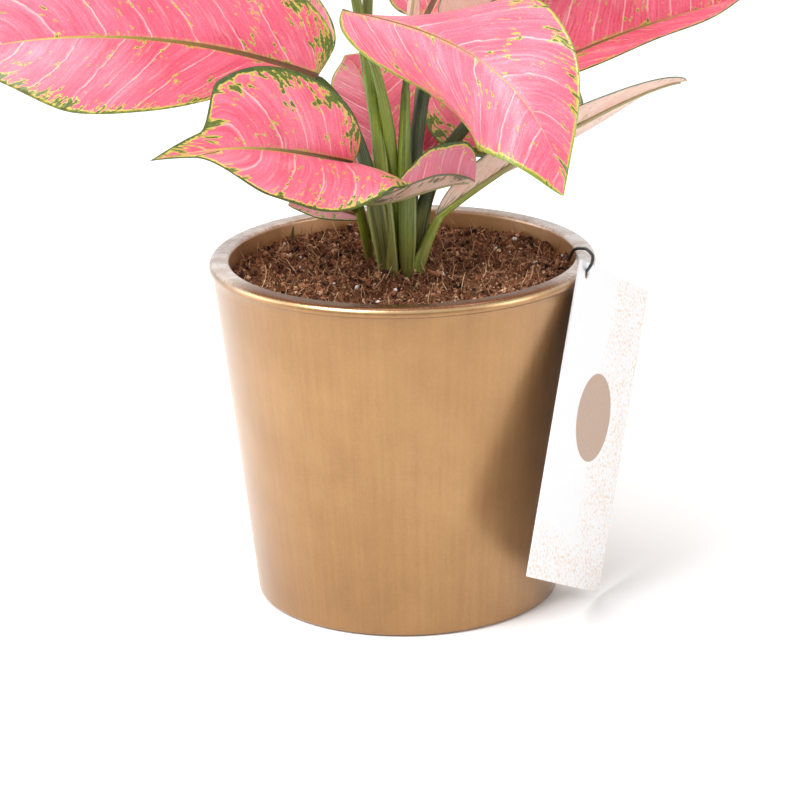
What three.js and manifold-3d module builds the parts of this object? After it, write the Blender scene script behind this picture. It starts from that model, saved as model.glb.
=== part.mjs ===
// A potted Chinese evergreen: fifteen pink leaves on green stalks, one of them still rolled up. They
// grow from potting mix in a tapered gold-painted pot, with a plain card on a wire pick at the rim.
// Millimetres, +Z up. The origin is the centre of the pot's flat underside. The front is -Y.

import * as THREE from 'three';
import { mergeVertices } from 'three/addons/utils/BufferGeometryUtils.js';
import Module from 'manifold-3d';

const wasm = await Module();
wasm.setup();

// ---------------------------------------------------------------- driving dimensions

const GAP = 0.3;                   // clearance between pieces that touch on the real thing

const POT_HEIGHT = 127;
const RIM_RADIUS = 70;             // outside, at the fullest part of the lip
const BASE_RADIUS = 55.5;
const BASE_ROUNDING = 1.8;
const LIP_ROUNDING = 2.4;
const LIP_HEIGHT = 3.9;
const UNDER_LIP_RADIUS = 68.8;
const LIP_STEP = { out: 0.5, up: 0.5 };
const MOUTH_RADIUS = 62.6;         // inside, at the top
const MOUTH_ROUNDING = 1.6;
const FLOOR_THICKNESS = 8;
const FLOOR_RADIUS = 49;           // inside, at the bottom of the hollow
const CORNER = { out: 1, up: 3, in: 3 };   // the chamfer between the floor and the wall
const POT_SIDES = 48;

const SOIL_TOP = 120.5;            // mean height of the potting mix
const SOIL_BOTTOM = FLOOR_THICKNESS + GAP;
const SOIL_RINGS = 11;
const SOIL_SECTORS = 44;
const SOIL_CLEARANCE = 0.85;       // from the pot's wall
const SOIL_ROUGHNESS = 1.1;
const SOIL_MOUND = 1.6;            // the mix is heaped a little round the plant
const MOUND_RADIUS = 22;
const GRAIN_COUNT = 26;            // white perlite grains that stand out of the mix
const GRAIN_SIZES = [1, 1.9];
const CHIP_COUNT = 9;              // bark chips lying in the mix
const CHIP_SIZES = [1.6, 2.4];     // thickness
const CHIP_LENGTH = 4.5;           // of the thickness
const CHIP_WIDTH = 1.6;
const CRUMB_RING = [12, 54];       // grains and chips lie between these radii
const CRUMB_TURN = 2.39996;        // the golden angle spreads them evenly

const CROWN = { x: -0.8, y: -5.7, radius: 6.8, bottom: 90, top: 114.5 };
const CROWN_HOLE_RADIUS = 8.6;
const STALK_FOOT = CROWN.top + GAP;
const OUTER_RING = 5.1;            // the outer stalks stand on this circle round the crown
const INNER_RING = 2.15;

const SHOOT = { x: -12, y: 10.5, foot: 115, holeRadius: 2.7 };
const SPROUT = { x: -41.5, y: 40, foot: 115, tip: 127, radius: 0.9, lean: 1.2 };
const SPROUT_TAPER = [1, 1, 0.8, 0.25];
const SPROUT_SIDES = 6;
const HOLE_TOP = POT_HEIGHT + 5;   // the holes in the mix are cut down from here

const BLADE_THICKNESS = 0.7;
const BLADE_ROWS = 12;             // steps from the stalk's joint to the tip
const BLADE_COLUMNS = 3;           // steps from the midrib to each margin
const VEIN_SWEEP = 0.3;            // how far the veins lean to the tip before they reach the margin
const VEIN_BEND = 1.6;
const LOBE_PLACE = 0.07;
const KEEL_START = 1.25;           // half-width of the raised midrib under the blade, at the joint
const KEEL_END = 0.4;
const STALK_SIDES = 8;
const STALK_STEPS = 9;
const KEEL_ROWS = 10;              // the raised midrib ends at this row of the blade

const CARD = { width: 70, height: 113, thickness: 0.6, holeAcross: 8, holeDown: 3.8, holeRadius: 2.0 };
const CARD_BEARING = 63.5;         // degrees round the pot from the front, towards +X
const CARD_TURN = 24.8;            // the card hangs from a corner, so it turns in its own plane
const CARD_HOLE_HEIGHT = 126.8;
const CARD_ALONG = 2.5;           // the hole's shift along the card's plane from the bearing
const CARD_PLANE = 71.3;           // distance of the card's middle from the pot's axis
const WIRE_RADIUS = 0.6;
const WIRE_SIDES = 8;
const WIRE_SUNK_POINTS = 6;        // the first points of the wire's path lie in the mix

// ---------------------------------------------------------------- the leaves

// A half of a blade: width, how far its base lobe reaches back, then the fold up from the midrib
// and the further curl, in degrees at base, middle and tip, the wave (height, count, phase), and the
// outline: its powers at the base and the tip, how much the tip is drawn out, and where along the
// midrib that narrowing starts and over what share.
function half(width, lobe, fold, curl, wave = [0, 2, 0], shape = [0.65, 0.75, 0.45]) {
  return { width, lobe, fold, curl, wave, shape };
}

function onRing(radius, degrees) {
  const angle = THREE.MathUtils.degToRad(degrees);
  return [CROWN.x + radius * Math.cos(angle), CROWN.y + radius * Math.sin(angle), STALK_FOOT];
}

// midrib: four control points from the joint to the tip. face: the way the upper side looks, at the
// joint and at the tip. stalk: three control points, and the joint is the fourth. radius: the
// stalk's, at its foot, middle and joint.
const LEAVES = {
  leaf_01: {
    midrib: [[-28.7, -8, 194.5], [-65.2, -12, 210.5], [-114.3, -20, 219.6], [-163.8, -30, 207.3]],
    face: [[0, -0.7, 0.71], [0, -0.62, 0.78]],
    left: half(36, 4, [12, 11, 25], [-5, -17, 0], [1.2, 2.2, 0.1], [1.2, 0.95, 0.35]),
    right: half(40, 9.5, [28, 18, 10], [7, 0, 0], [1.2, 2, 0.4], [0.65, 0.8, 0.4]),
    stalk: [onRing(OUTER_RING, -158), [-7.6, -8.5, 150.7], [-15, -8, 183.1]],
    radius: [1.6, 1.9, 1.55],
  },
  leaf_02: {
    midrib: [[-17.1, -22, 166.4], [-37.1, -34, 173.8], [-51.1, -46, 182.4], [-85.5, -56, 177.4]],
    face: [[0, -0.72, 0.69], [0, -0.6, 0.8]],
    left: half(32.6, 15, [58, 14, 20], [-33, -4, 0], [1, 1.6, 0.3], [0.36, 1.1, 0.75, 0.55, 0.26]),
    right: half(30, 3.5, [65, 33, 22], [-6, -22, 0], [0.8, 1.8, 0.2], [0.73, 1.1, 0.63, 0.62, 0.13]),
    stalk: [[SHOOT.x, SHOOT.y, SHOOT.foot], [-11.2, 9.8, 129.6], [-17.6, -6, 154.2]],
    radius: [1.3, 1.3, 1.1],
  },
  leaf_03: {
    midrib: [[-17.6, -14, 151.4], [-3.2, -17, 147.5], [11.9, -19, 159.8], [26.1, -20, 158.3]],
    face: [[0, -0.2, 0.98], [0, -0.2, 0.98]],
    left: half(15.2, 1, [25, 54, 58], [0, 18, 0], [1, 2, 0], [1.4, 0.3, 0]),
    right: half(9.3, 1.7, [35, 46, 60], [0, 0, 0], [0, 2, 0], [0.83, 0.7, 0.3]),
    stalk: [[-16.34, -3.96, 144.3], [-18.3, -6.4, 146.4], [-20.2, -10.5, 148.6]],
    radius: [0.9, 0.9, 0.8],
  },
  leaf_04: {
    midrib: [[12.8, -1, 141.4], [36.4, 5, 159.2], [89.3, 12, 187.1], [103.9, 16, 185]],
    face: [[-0.3, 0.6, 0.75], [-0.2, 0.5, 0.8]],
    left: half(19.9, 3, [35, 8, 26], [0, 0, 0], [0, 2, 0], [0.5, 0.84, 0.34]),
    right: half(16.1, 2, [62, 3, 2], [0, 0, 0], [0, 2, 0], [0.94, 0.83, 0.36]),
    stalk: [onRing(OUTER_RING, -22), [5.2, -6.8, 125], [9.1, -3, 133.8]],
    radius: [1.6, 1.7, 1.5],
  },
  leaf_05: {
    midrib: [[-19.3, -12, 219.4], [6.3, -42, 219.7], [46.6, -86, 219], [53.6, -92, 171.9]],
    face: [[-0.34, -0.2, 0.92], [0.2, -0.55, 0.8]],
    left: half(32.5, 4.8, [-60, 19, -2], [-50, -16, -3], [1, 2, 0.1], [0.45, 1, 0.45]),
    right: half(27, 5.7, [-41, -37, 0], [-23, -78, -8], [1, 2.2, 0.6], [0.78, 0.78, 0.25]),
    stalk: [onRing(INNER_RING, -135), [-1.1, -3.5, 150.9], [-2.7, -4, 201.7]],
    radius: [1.4, 1.5, 1.1],
  },
  leaf_06: {
    midrib: [[39.3, 14, 184.8], [84.9, 18, 207.8], [103.3, 27, 205.2], [131, 36, 213.7]],
    face: [[0, -0.5, 0.87], [0, -0.6, 0.8]],
    left: half(37, 8, [30, 35, 20], [0, 0, 0], [1.2, 2, 0.2]),
    right: half(30.5, 5, [19, 35, 53], [0, 8, 0], [1.2, 2, 0.5], [0.9, 0.8, 0.46]),
    stalk: [onRing(OUTER_RING, 22), [6, 2.5, 150.7], [14.9, 13, 167.1]],
    radius: [1.6, 1.9, 1.6],
  },
  leaf_07: {
    midrib: [[16.9, 14, 208.1], [49.3, 18, 222.2], [80.4, 26, 238.4], [109.5, 34, 258.1]],
    face: [[-0.3, 0.5, 0.8], [-0.2, 0.4, 0.9]],
    left: half(32, 6, [25, 25, 20], [0, 0, 0]),
    right: half(32, 6, [25, 25, 20], [0, 0, 0]),
    stalk: [onRing(INNER_RING, -45), [3.5, -4.5, 145.8], [4.6, 1, 189.2]],
    radius: [1.4, 2, 1.6],
  },
  leaf_08: {
    midrib: [[-16, 6, 236.2], [-41.3, 12, 266.3], [-78.8, 24, 289.5], [-119.3, 36, 281.7]],
    face: [[0.3, -0.1, 0.95], [-0.3, -0.1, 0.95]],
    left: half(36, 8, [15, 15, 10], [0, -10, 0], [1.5, 2, 0.3]),
    right: half(36, 2, [15, 15, 10], [0, -10, 0], [1.5, 2, 0.7]),
    stalk: [onRing(OUTER_RING, -112), [-3.2, -9.5, 145.7], [-10.8, -1, 194.2]],
    radius: [1.6, 1.7, 1.6],
  },
  leaf_09: {
    midrib: [[-5.4, 16, 155.1], [-10.1, 32, 167.8], [-11.9, 48, 185.2], [-20.2, 64, 186.1]],
    face: [[0, -0.6, 0.8], [0, -0.5, 0.85]],
    left: half(14.5, 7.7, [10, 10, 10], [0, 0, 0], [0, 2, 0], [0.4, 0.87, 0.44]),
    right: half(25, 9, [10, 10, 10], [0, 0, 0], [0, 2, 0], [0.4, 0.89, 0.45]),
    stalk: [onRing(OUTER_RING, 112), [-0.9, 2.5, 131.5], [-1.6, 10, 146.5]],
    radius: [1.5, 1.6, 1.4],
  },
  leaf_10: {
    midrib: [[8.2, 28, 182.3], [25, 38, 182], [43.4, 64, 187.3], [55.5, 88, 181.8]],
    face: [[0, -0.85, 0.5], [0, -0.5, 0.85]],
    left: half(20, 5, [0, 0, 0], [0, 0, 0]),
    right: half(41.7, 11.5, [9, -6, 2], [0, 0, 0], [0, 2, 0], [0.58, 0.89, 0.3]),
    stalk: [onRing(INNER_RING, 45), [3.3, -1, 146], [5.9, 11, 171.1]],
    radius: [1.4, 1.6, 1.5],
  },
  leaf_11: {
    midrib: [[-14.3, 9, 138.5], [-23.8, 7, 141.9], [-31.8, 5, 145], [-40.8, 2, 145.3]],
    face: [[0, -0.1, 1], [0, -0.1, 1]],
    left: half(12.8, 1.2, [-1, 1, -7], [-17, -4, 0], [0, 2, 0], [0.9, 0.75, 0.36]),
    right: half(13, 2, [20, 15, 5], [0, 0, 0]),
    stalk: [onRing(OUTER_RING, 157), [-5.2, -1.3, 126.4], [-9.9, 6, 134.6]],
    radius: [1.4, 1.3, 1],
  },
  leaf_12: {
    midrib: [[10.9, 76, 197.8], [23.9, 100, 221.6], [53.4, 128, 235.6], [84.8, 148, 220.8]],
    face: [[0, -0.3, 0.95], [0.1, 0.1, 1]],
    left: half(36, 8, [12, 15, 10], [0, -10, 0], [1.5, 2, 0.1]),
    right: half(36, 8, [12, 15, 10], [0, -15, 0], [1.5, 2, 0.6]),
    stalk: [onRing(OUTER_RING, 67), [2.2, -1.5, 137], [6.1, 37, 171.5]],
    radius: [1.5, 1.8, 1.6],
  },
  leaf_13: {
    midrib: [[-34, 26, 191], [-53.9, 44, 208.5], [-86.5, 76, 223.6], [-112.1, 104, 208.5]],
    face: [[0.2, -0.3, 0.95], [-0.1, 0.1, 1]],
    left: half(36, 8, [14, 15, 10], [0, -10, 0], [1.5, 2, 0.8]),
    right: half(36, 8, [14, 15, 10], [0, -15, 0], [1.5, 2, 0.3]),
    stalk: [onRing(INNER_RING, 135), [-1.5, 0, 133.3], [-12.2, 12, 170.6]],
    radius: [1.4, 1.7, 1.6],
  },
  leaf_14: {
    midrib: [[2.6, 0.5, 188.6], [3.3, 2, 200.4], [4.6, 3.5, 214.2], [6.8, 5, 226]],
    face: [[0.2, 0.95, 0.1], [0.1, 0.9, 0.3]],
    left: half(7, 1, [60, 60, 50], [30, 30, 20]),
    right: half(7, 1, [60, 60, 50], [30, 30, 20]),
    stalk: [onRing(OUTER_RING, -68), [1.2, -9.5, 140.7], [1.2, -5, 169.3]],
    radius: [1.5, 2, 1.4],
  },
  leaf_15: {
    midrib: [[1.5, 14, 259.9], [7.9, 10, 286.5], [4.3, -4, 316], [-9.1, -18, 335.7]],
    face: [[0.3, 0.9, 0.2], [0.1, 0.6, 0.8]],
    left: half(24, 4, [50, 45, 30], [10, 10, 0], [1, 2, 0.2]),
    right: half(24, 4, [50, 45, 30], [10, 10, 0], [1, 2, 0.6]),
    stalk: [[-7.1, -1.1, 170.3], [-12.6, 5, 203.9], [-14.1, 12, 230.8]],
    radius: [1.2, 1.4, 1.3],
  },
};

// ---------------------------------------------------------------- colours

const COLOURS = {
  pot: { color: '#c79a63', roughness: 0.38, metalness: 0.75 },
  soil: { color: '#5f3e2b', roughness: 0.95, metalness: 0 },
  crown: { color: '#7d7a45', roughness: 0.7, metalness: 0 },
  blade: { color: '#ee7187', roughness: 0.42, metalness: 0 },
  stalk: { color: '#6d8a35', roughness: 0.45, metalness: 0 },
  card: { color: '#fbf8f4', roughness: 0.8, metalness: 0 },
  wire: { color: '#30332f', roughness: 0.4, metalness: 0.6 },
};

// ---------------------------------------------------------------- closed meshes

const group = new THREE.Group();

function addNode(name, geometry, colours) {
  geometry.computeVertexNormals();
  const mesh = new THREE.Mesh(geometry, new THREE.MeshStandardMaterial(colours));
  mesh.name = name;
  group.add(mesh);
}

function geometryFrom(points, triangles) {
  const geometry = new THREE.BufferGeometry();
  const numbers = points.flatMap((p) => p.toArray());
  geometry.setAttribute('position', new THREE.Float32BufferAttribute(numbers, 3));
  geometry.setIndex(triangles.flat());
  return geometry;
}

function solidFrom(geometry) {
  const bare = geometry.clone();
  for (const name of ['normal', 'uv']) bare.deleteAttribute(name);
  const merged = mergeVertices(bare, 1e-4);
  const vertProperties = new Float32Array(merged.getAttribute('position').array);
  const triVerts = new Uint32Array(merged.getIndex().array);
  return new wasm.Manifold(new wasm.Mesh({ numProp: 3, vertProperties, triVerts }));
}

function geometryOf(solid) {
  const mesh = solid.getMesh();
  const geometry = new THREE.BufferGeometry();
  geometry.setAttribute('position', new THREE.BufferAttribute(new Float32Array(mesh.vertProperties), 3));
  geometry.setIndex(Array.from(mesh.triVerts));
  return geometry;
}

function cylinderAlongZ(x, y, radius, bottom, top, sides) {
  const geometry = new THREE.CylinderGeometry(radius, radius, top - bottom, sides);
  geometry.rotateX(Math.PI / 2);
  geometry.translate(x, y, (top + bottom) / 2);
  return geometry;
}

// A tube with closed ends round a list of stations { at, along, up, across, tall }, where across and
// tall are the half-axes of its section.
function tube(stations, sides) {
  const points = [];
  const triangles = [];
  for (const station of stations) {
    const side = new THREE.Vector3().crossVectors(station.along, station.up);
    for (let i = 0; i < sides; i++) {
      const angle = (2 * Math.PI * i) / sides;
      points.push(station.at.clone()
        .addScaledVector(side, station.across * Math.cos(angle))
        .addScaledVector(station.up, station.tall * Math.sin(angle)));
    }
  }
  const last = stations.length - 1;
  for (let k = 0; k < last; k++) {
    for (let i = 0; i < sides; i++) {
      const a = k * sides + i;
      const b = k * sides + ((i + 1) % sides);
      triangles.push([a, a + sides, b], [b, a + sides, b + sides]);
    }
  }
  const start = points.push(stations[0].at.clone()) - 1;
  const end = points.push(stations[last].at.clone()) - 1;
  for (let i = 0; i < sides; i++) {
    const next = (i + 1) % sides;
    triangles.push([start, i, next], [end, last * sides + next, last * sides + i]);
  }
  return geometryFrom(points, triangles);
}

// Gives every station of a path its direction and an up vector that turns no more than it must,
// starting from a given up vector at the path's far end.
function stationsAlong(path, lastUp, sizes) {
  const stations = path.map((at, i) => {
    const before = path[Math.max(i - 1, 0)];
    const after = path[Math.min(i + 1, path.length - 1)];
    return { at, along: after.clone().sub(before).normalize(), across: sizes[i][0], tall: sizes[i][1] };
  });
  let up = lastUp.clone();
  for (let i = stations.length - 1; i >= 0; i--) {
    up = up.clone().addScaledVector(stations[i].along, -up.dot(stations[i].along)).normalize();
    stations[i].up = up;
  }
  return stations;
}

// ---------------------------------------------------------------- blades

function vector(values) {
  return new THREE.Vector3(...values);
}

function lengthOf(points) {
  return new THREE.CubicBezierCurve3(...points.map(vector)).getLength();
}

// A value given at base, middle and tip, taken at a share s of the way.
function between([base, middle, tip], s) {
  return base * (1 - s) * (1 - 2 * s) + middle * 4 * s * (1 - s) + tip * s * (2 * s - 1);
}

function outlineWidth(t, [basePower, tipPower, drawnOut, from = 0.6, over = 0.4]) {
  const fullest = basePower / (basePower + tipPower);
  const peak = fullest ** basePower * (1 - fullest) ** tipPower;
  const narrowing = drawnOut * THREE.MathUtils.smoothstep(t, from, from + over);
  return (t ** basePower * (1 - t) ** tipPower / peak) * (1 - narrowing);
}

// The blade's frame at a share s of the midrib: the point, the way to the tip, the upper side's
// direction and the right-hand side.
function bladeFrame(leaf, s) {
  const share = THREE.MathUtils.clamp(s, 0, 1);
  const at = bezierPoint(leaf.midrib, share);
  if (s < 0) at.addScaledVector(bezierSlope(leaf.midrib, 0), s);
  const along = bezierSlope(leaf.midrib, share).normalize();
  const up = vector(leaf.face[0]).normalize().multiplyScalar(1 - share)
    .addScaledVector(vector(leaf.face[1]).normalize(), share);
  up.addScaledVector(along, -up.dot(along)).normalize();
  return { at, along, up, right: new THREE.Vector3().crossVectors(along, up) };
}

function bezierPoint(points, t) {
  const [a, b, c, d] = points.map(vector);
  const u = 1 - t;
  return a.multiplyScalar(u * u * u).addScaledVector(b, 3 * u * u * t)
    .addScaledVector(c, 3 * u * t * t).addScaledVector(d, t * t * t);
}

function bezierSlope(points, t) {
  const [a, b, c, d] = points.map(vector);
  const u = 1 - t;
  return b.clone().sub(a).multiplyScalar(3 * u * u)
    .addScaledVector(c.clone().sub(b), 6 * u * t)
    .addScaledVector(d.clone().sub(c), 3 * t * t);
}

// A point of the blade: t runs along the veins' feet from the joint to the tip, r along a vein from
// the midrib to the margin, and side is +1 or -1.
function bladePoint(leaf, t, r, side) {
  const part = side > 0 ? leaf.right : leaf.left;
  const backward = (part.lobe / leaf.length) * (t / LOBE_PLACE) * Math.exp(1 - t / LOBE_PLACE);
  const marginShare = t + VEIN_SWEEP * t * (1 - t) - backward;
  const s = t + (marginShare - t) * r ** VEIN_BEND;
  const share = THREE.MathUtils.clamp(s, 0, 1);
  const out = outlineWidth(t, part.shape) * r;            // in half-widths
  const fold = THREE.MathUtils.degToRad(between(part.fold, share));
  let curl = THREE.MathUtils.degToRad(between(part.curl, share));
  if (Math.abs(curl) < 1e-4) curl = 1e-4;
  const sideways = (part.width / curl) * (Math.sin(fold + curl * out) - Math.sin(fold));
  let upward = (part.width / curl) * (Math.cos(fold) - Math.cos(fold + curl * out));
  const [waveHeight, waveCount, wavePhase] = part.wave;
  upward += waveHeight * out * out * Math.sin(2 * Math.PI * (waveCount * share + wavePhase))
    * Math.min(1, 8 * (1 - share));
  const frame = bladeFrame(leaf, s);
  return frame.at.addScaledVector(frame.right, sideways * side).addScaledVector(frame.up, upward);
}

// Turns an open surface into a solid of the same triangles on both faces, joined round its edge.
function thicken(points, triangles, thickness) {
  const normals = points.map(() => new THREE.Vector3());
  for (const [a, b, c] of triangles) {
    const normal = points[b].clone().sub(points[a]).cross(points[c].clone().sub(points[a]));
    for (const i of [a, b, c]) normals[i].add(normal);
  }
  for (const normal of normals) normal.normalize();
  const count = points.length;
  const upper = points.map((p, i) => p.clone().addScaledVector(normals[i], thickness / 2));
  const lower = points.map((p, i) => p.clone().addScaledVector(normals[i], -thickness / 2));
  const edges = new Set(triangles.flatMap(([a, b, c]) => [`${a} ${b}`, `${b} ${c}`, `${c} ${a}`]));
  const walls = [];
  for (const edge of edges) {
    const [a, b] = edge.split(' ').map(Number);
    if (!edges.has(`${b} ${a}`)) walls.push([a, a + count, b], [b, a + count, b + count]);
  }
  const under = triangles.map(([a, b, c]) => [a + count, c + count, b + count]);
  return geometryFrom([...upper, ...lower], [...triangles, ...under, ...walls]);
}

// The share of the midrib at which a row of the blade starts, closer together at both ends.
function rowShare(i) {
  return (1 - Math.cos((Math.PI * i) / BLADE_ROWS)) / 2;
}

function bladeGeometry(leaf) {
  const points = [bladePoint(leaf, 0, 0, 1)];
  const rows = [];
  for (let i = 1; i < BLADE_ROWS; i++) {
    const t = rowShare(i);
    const row = [];
    for (let j = -BLADE_COLUMNS; j <= BLADE_COLUMNS; j++) {
      row.push(points.push(bladePoint(leaf, t, Math.abs(j) / BLADE_COLUMNS, j < 0 ? -1 : 1)) - 1);
    }
    rows.push(row);
  }
  const tip = points.push(bladePoint(leaf, 1, 0, 1)) - 1;
  const triangles = [];
  const width = 2 * BLADE_COLUMNS;
  for (let j = 0; j < width; j++) {
    triangles.push([0, rows[0][j + 1], rows[0][j]]);
    triangles.push([tip, rows[rows.length - 1][j], rows[rows.length - 1][j + 1]]);
  }
  for (let i = 0; i + 1 < rows.length; i++) {
    for (let j = 0; j < width; j++) {
      const [a, b, c, d] = [rows[i][j], rows[i][j + 1], rows[i + 1][j], rows[i + 1][j + 1]];
      if (j < BLADE_COLUMNS) triangles.push([a, b, d], [a, d, c]);
      else triangles.push([a, b, c], [b, d, c]);
    }
  }
  return thicken(points, triangles, BLADE_THICKNESS);
}

// ---------------------------------------------------------------- stalks

// How far the middle of the raised midrib lies under the blade, so that it stays clear of it also
// where the halves droop from the midrib.
function keelDepth(leaf, s, across, tall) {
  const droop = Math.max(0, -between(leaf.left.fold, s), -between(leaf.right.fold, s));
  return BLADE_THICKNESS / 2 + GAP + tall + across * Math.tan(THREE.MathUtils.degToRad(droop));
}

function stalkGeometry(leaf) {
  const path = [];
  const sizes = [];
  const first = bladeFrame(leaf, 0);
  const joint = first.at.addScaledVector(first.up, -keelDepth(leaf, 0, leaf.keel, leaf.keel));
  const control = [...leaf.stalk, joint.toArray()];
  for (let i = 0; i < STALK_STEPS; i++) {
    const t = i / STALK_STEPS;
    path.push(bezierPoint(control, t));
    const radius = between(leaf.radius, t);
    sizes.push([radius, radius]);
  }
  for (let i = 0; i <= KEEL_ROWS; i++) {
    const s = rowShare(i);
    const across = THREE.MathUtils.lerp(leaf.keel, KEEL_END, i / KEEL_ROWS);
    const frame = bladeFrame(leaf, s);
    path.push(frame.at.addScaledVector(frame.up, -keelDepth(leaf, s, across, across)));
    sizes.push([across, across]);
  }
  return tube(stationsAlong(path, bladeFrame(leaf, 1).up, sizes), STALK_SIDES);
}

// ---------------------------------------------------------------- pot, soil, crown

function arcPoints(cx, cy, radius, from, to, steps) {
  return Array.from({ length: steps + 1 }, (_, i) => {
    const angle = THREE.MathUtils.degToRad(from + ((to - from) * i) / steps);
    return new THREE.Vector2(cx + radius * Math.cos(angle), cy + radius * Math.sin(angle));
  });
}

function latheUp(profile, sides) {
  const geometry = new THREE.LatheGeometry(profile, sides);
  geometry.rotateX(Math.PI / 2);
  return geometry;
}

function potGeometry() {
  const lipMiddle = RIM_RADIUS - LIP_ROUNDING;
  const mouthMiddle = MOUTH_RADIUS + MOUTH_ROUNDING;
  const profile = [
    new THREE.Vector2(0, 0),
    ...arcPoints(BASE_RADIUS - BASE_ROUNDING, BASE_ROUNDING, BASE_ROUNDING, -90, 0, 3),
    new THREE.Vector2(UNDER_LIP_RADIUS, POT_HEIGHT - LIP_HEIGHT),
    new THREE.Vector2(UNDER_LIP_RADIUS + LIP_STEP.out, POT_HEIGHT - LIP_HEIGHT + LIP_STEP.up),
    ...arcPoints(lipMiddle, POT_HEIGHT - LIP_ROUNDING, LIP_ROUNDING, -20, 90, 5),
    ...arcPoints(mouthMiddle, POT_HEIGHT - MOUTH_ROUNDING, MOUTH_ROUNDING, 90, 180, 3),
    new THREE.Vector2(FLOOR_RADIUS + CORNER.out, FLOOR_THICKNESS + CORNER.up),
    new THREE.Vector2(FLOOR_RADIUS - CORNER.in, FLOOR_THICKNESS),
    new THREE.Vector2(0, FLOOR_THICKNESS),
  ];
  return geometryOf(solidFrom(latheUp(profile, POT_SIDES)));
}

// The radius of the pot's hollow at a height.
function hollowRadius(z) {
  const low = { r: FLOOR_RADIUS + CORNER.out, z: FLOOR_THICKNESS + CORNER.up };
  const high = { r: MOUTH_RADIUS, z: POT_HEIGHT - MOUTH_ROUNDING };
  return THREE.MathUtils.mapLinear(z, low.z, high.z, low.r, high.r);
}

// A repeatable number from 0 to 1 for whole numbers i and k.
function scatter(i, k) {
  const value = Math.sin(i * 12.9898 + k * 78.233) * 43758.5453;
  return value - Math.floor(value);
}

// The mix is heaped round the plant, with a slow swell and a quicker one.
function soilHeight(x, y) {
  const away = Math.hypot(x - CROWN.x, y - CROWN.y);
  const slow = 0.7 * Math.sin(x * 0.11 + 1.3) * Math.cos(y * 0.13);
  const quick = 0.5 * Math.sin(x * 0.31 - y * 0.27);
  return SOIL_TOP + SOIL_MOUND * Math.exp(-((away / MOUND_RADIUS) ** 2)) + slow + quick;
}

function soilGeometry() {
  // The middles of the pot's facets lie inside its circle, so the mix is drawn in by that much too.
  const clearance = SOIL_CLEARANCE + FLOOR_RADIUS * (1 - Math.cos(Math.PI / POT_SIDES));
  const points = [new THREE.Vector3(0, 0, soilHeight(0, 0))];
  const triangles = [];
  for (let i = 1; i <= SOIL_RINGS; i++) {
    for (let j = 0; j < SOIL_SECTORS; j++) {
      const share = i / SOIL_RINGS;
      const angle = (2 * Math.PI * (j + 0.5 * (i % 2))) / SOIL_SECTORS;
      const radius = share * (hollowRadius(SOIL_TOP) - clearance);
      const x = radius * Math.cos(angle);
      const y = radius * Math.sin(angle);
      const rough = SOIL_ROUGHNESS * (2 * scatter(i, j) - 1);
      points.push(new THREE.Vector3(x, y, soilHeight(x, y) + rough));
    }
  }
  const ring = (i, j) => 1 + (i - 1) * SOIL_SECTORS + ((j + SOIL_SECTORS) % SOIL_SECTORS);
  for (let j = 0; j < SOIL_SECTORS; j++) triangles.push([0, ring(1, j), ring(1, j + 1)]);
  for (let i = 1; i < SOIL_RINGS; i++) {
    for (let j = 0; j < SOIL_SECTORS; j++) {
      const [a, b, c, d] = [ring(i, j), ring(i, j + 1), ring(i + 1, j), ring(i + 1, j + 1)];
      if (i % 2) triangles.push([a, c, d], [a, d, b]);
      else triangles.push([a, c, b], [b, c, d]);
    }
  }
  const bottomRadius = hollowRadius(FLOOR_THICKNESS + CORNER.up) - clearance;
  const low = points.length;
  for (let j = 0; j < SOIL_SECTORS; j++) {
    const angle = (2 * Math.PI * (j + 0.5 * (SOIL_RINGS % 2))) / SOIL_SECTORS;
    const z = SOIL_BOTTOM + CORNER.up;
    points.push(new THREE.Vector3(bottomRadius * Math.cos(angle), bottomRadius * Math.sin(angle), z));
  }
  const foot = points.length;
  for (let j = 0; j < SOIL_SECTORS; j++) {
    const angle = (2 * Math.PI * (j + 0.5 * (SOIL_RINGS % 2))) / SOIL_SECTORS;
    const radius = FLOOR_RADIUS - CORNER.in - 1;
    points.push(new THREE.Vector3(radius * Math.cos(angle), radius * Math.sin(angle), SOIL_BOTTOM));
  }
  const under = points.push(new THREE.Vector3(0, 0, SOIL_BOTTOM)) - 1;
  for (let j = 0; j < SOIL_SECTORS; j++) {
    const next = (j + 1) % SOIL_SECTORS;
    const [a, b] = [ring(SOIL_RINGS, j), ring(SOIL_RINGS, j + 1)];
    triangles.push([a, low + j, b], [b, low + j, low + next]);
    triangles.push([low + j, foot + j, low + next], [low + next, foot + j, foot + next]);
    triangles.push([under, foot + next, foot + j]);
  }
  let soil = solidFrom(geometryFrom(points, triangles));
  for (let i = 0; i < GRAIN_COUNT + CHIP_COUNT; i++) soil = soil.add(solidFrom(crumbGeometry(i)));
  const holes = [
    cylinderAlongZ(CROWN.x, CROWN.y, CROWN_HOLE_RADIUS, CROWN.bottom - GAP, HOLE_TOP, 24),
    cylinderAlongZ(SHOOT.x, SHOOT.y, SHOOT.holeRadius, SHOOT.foot - GAP, HOLE_TOP, 12),
    cylinderAlongZ(SPROUT.x, SPROUT.y, SPROUT.radius + GAP, SPROUT.foot - GAP, HOLE_TOP, 10),
    wireGeometry(WIRE_PATH.slice(0, WIRE_SUNK_POINTS), WIRE_RADIUS + GAP),
  ];
  for (const hole of holes) soil = soil.subtract(solidFrom(hole));
  return geometryOf(largest(soil));
}

function grainGeometry(share) {
  return new THREE.OctahedronGeometry(THREE.MathUtils.lerp(...GRAIN_SIZES, share));
}

function chipGeometry(share) {
  const thickness = THREE.MathUtils.lerp(...CHIP_SIZES, share);
  return new THREE.BoxGeometry(thickness * CHIP_LENGTH, thickness * CHIP_WIDTH, thickness);
}

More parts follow.
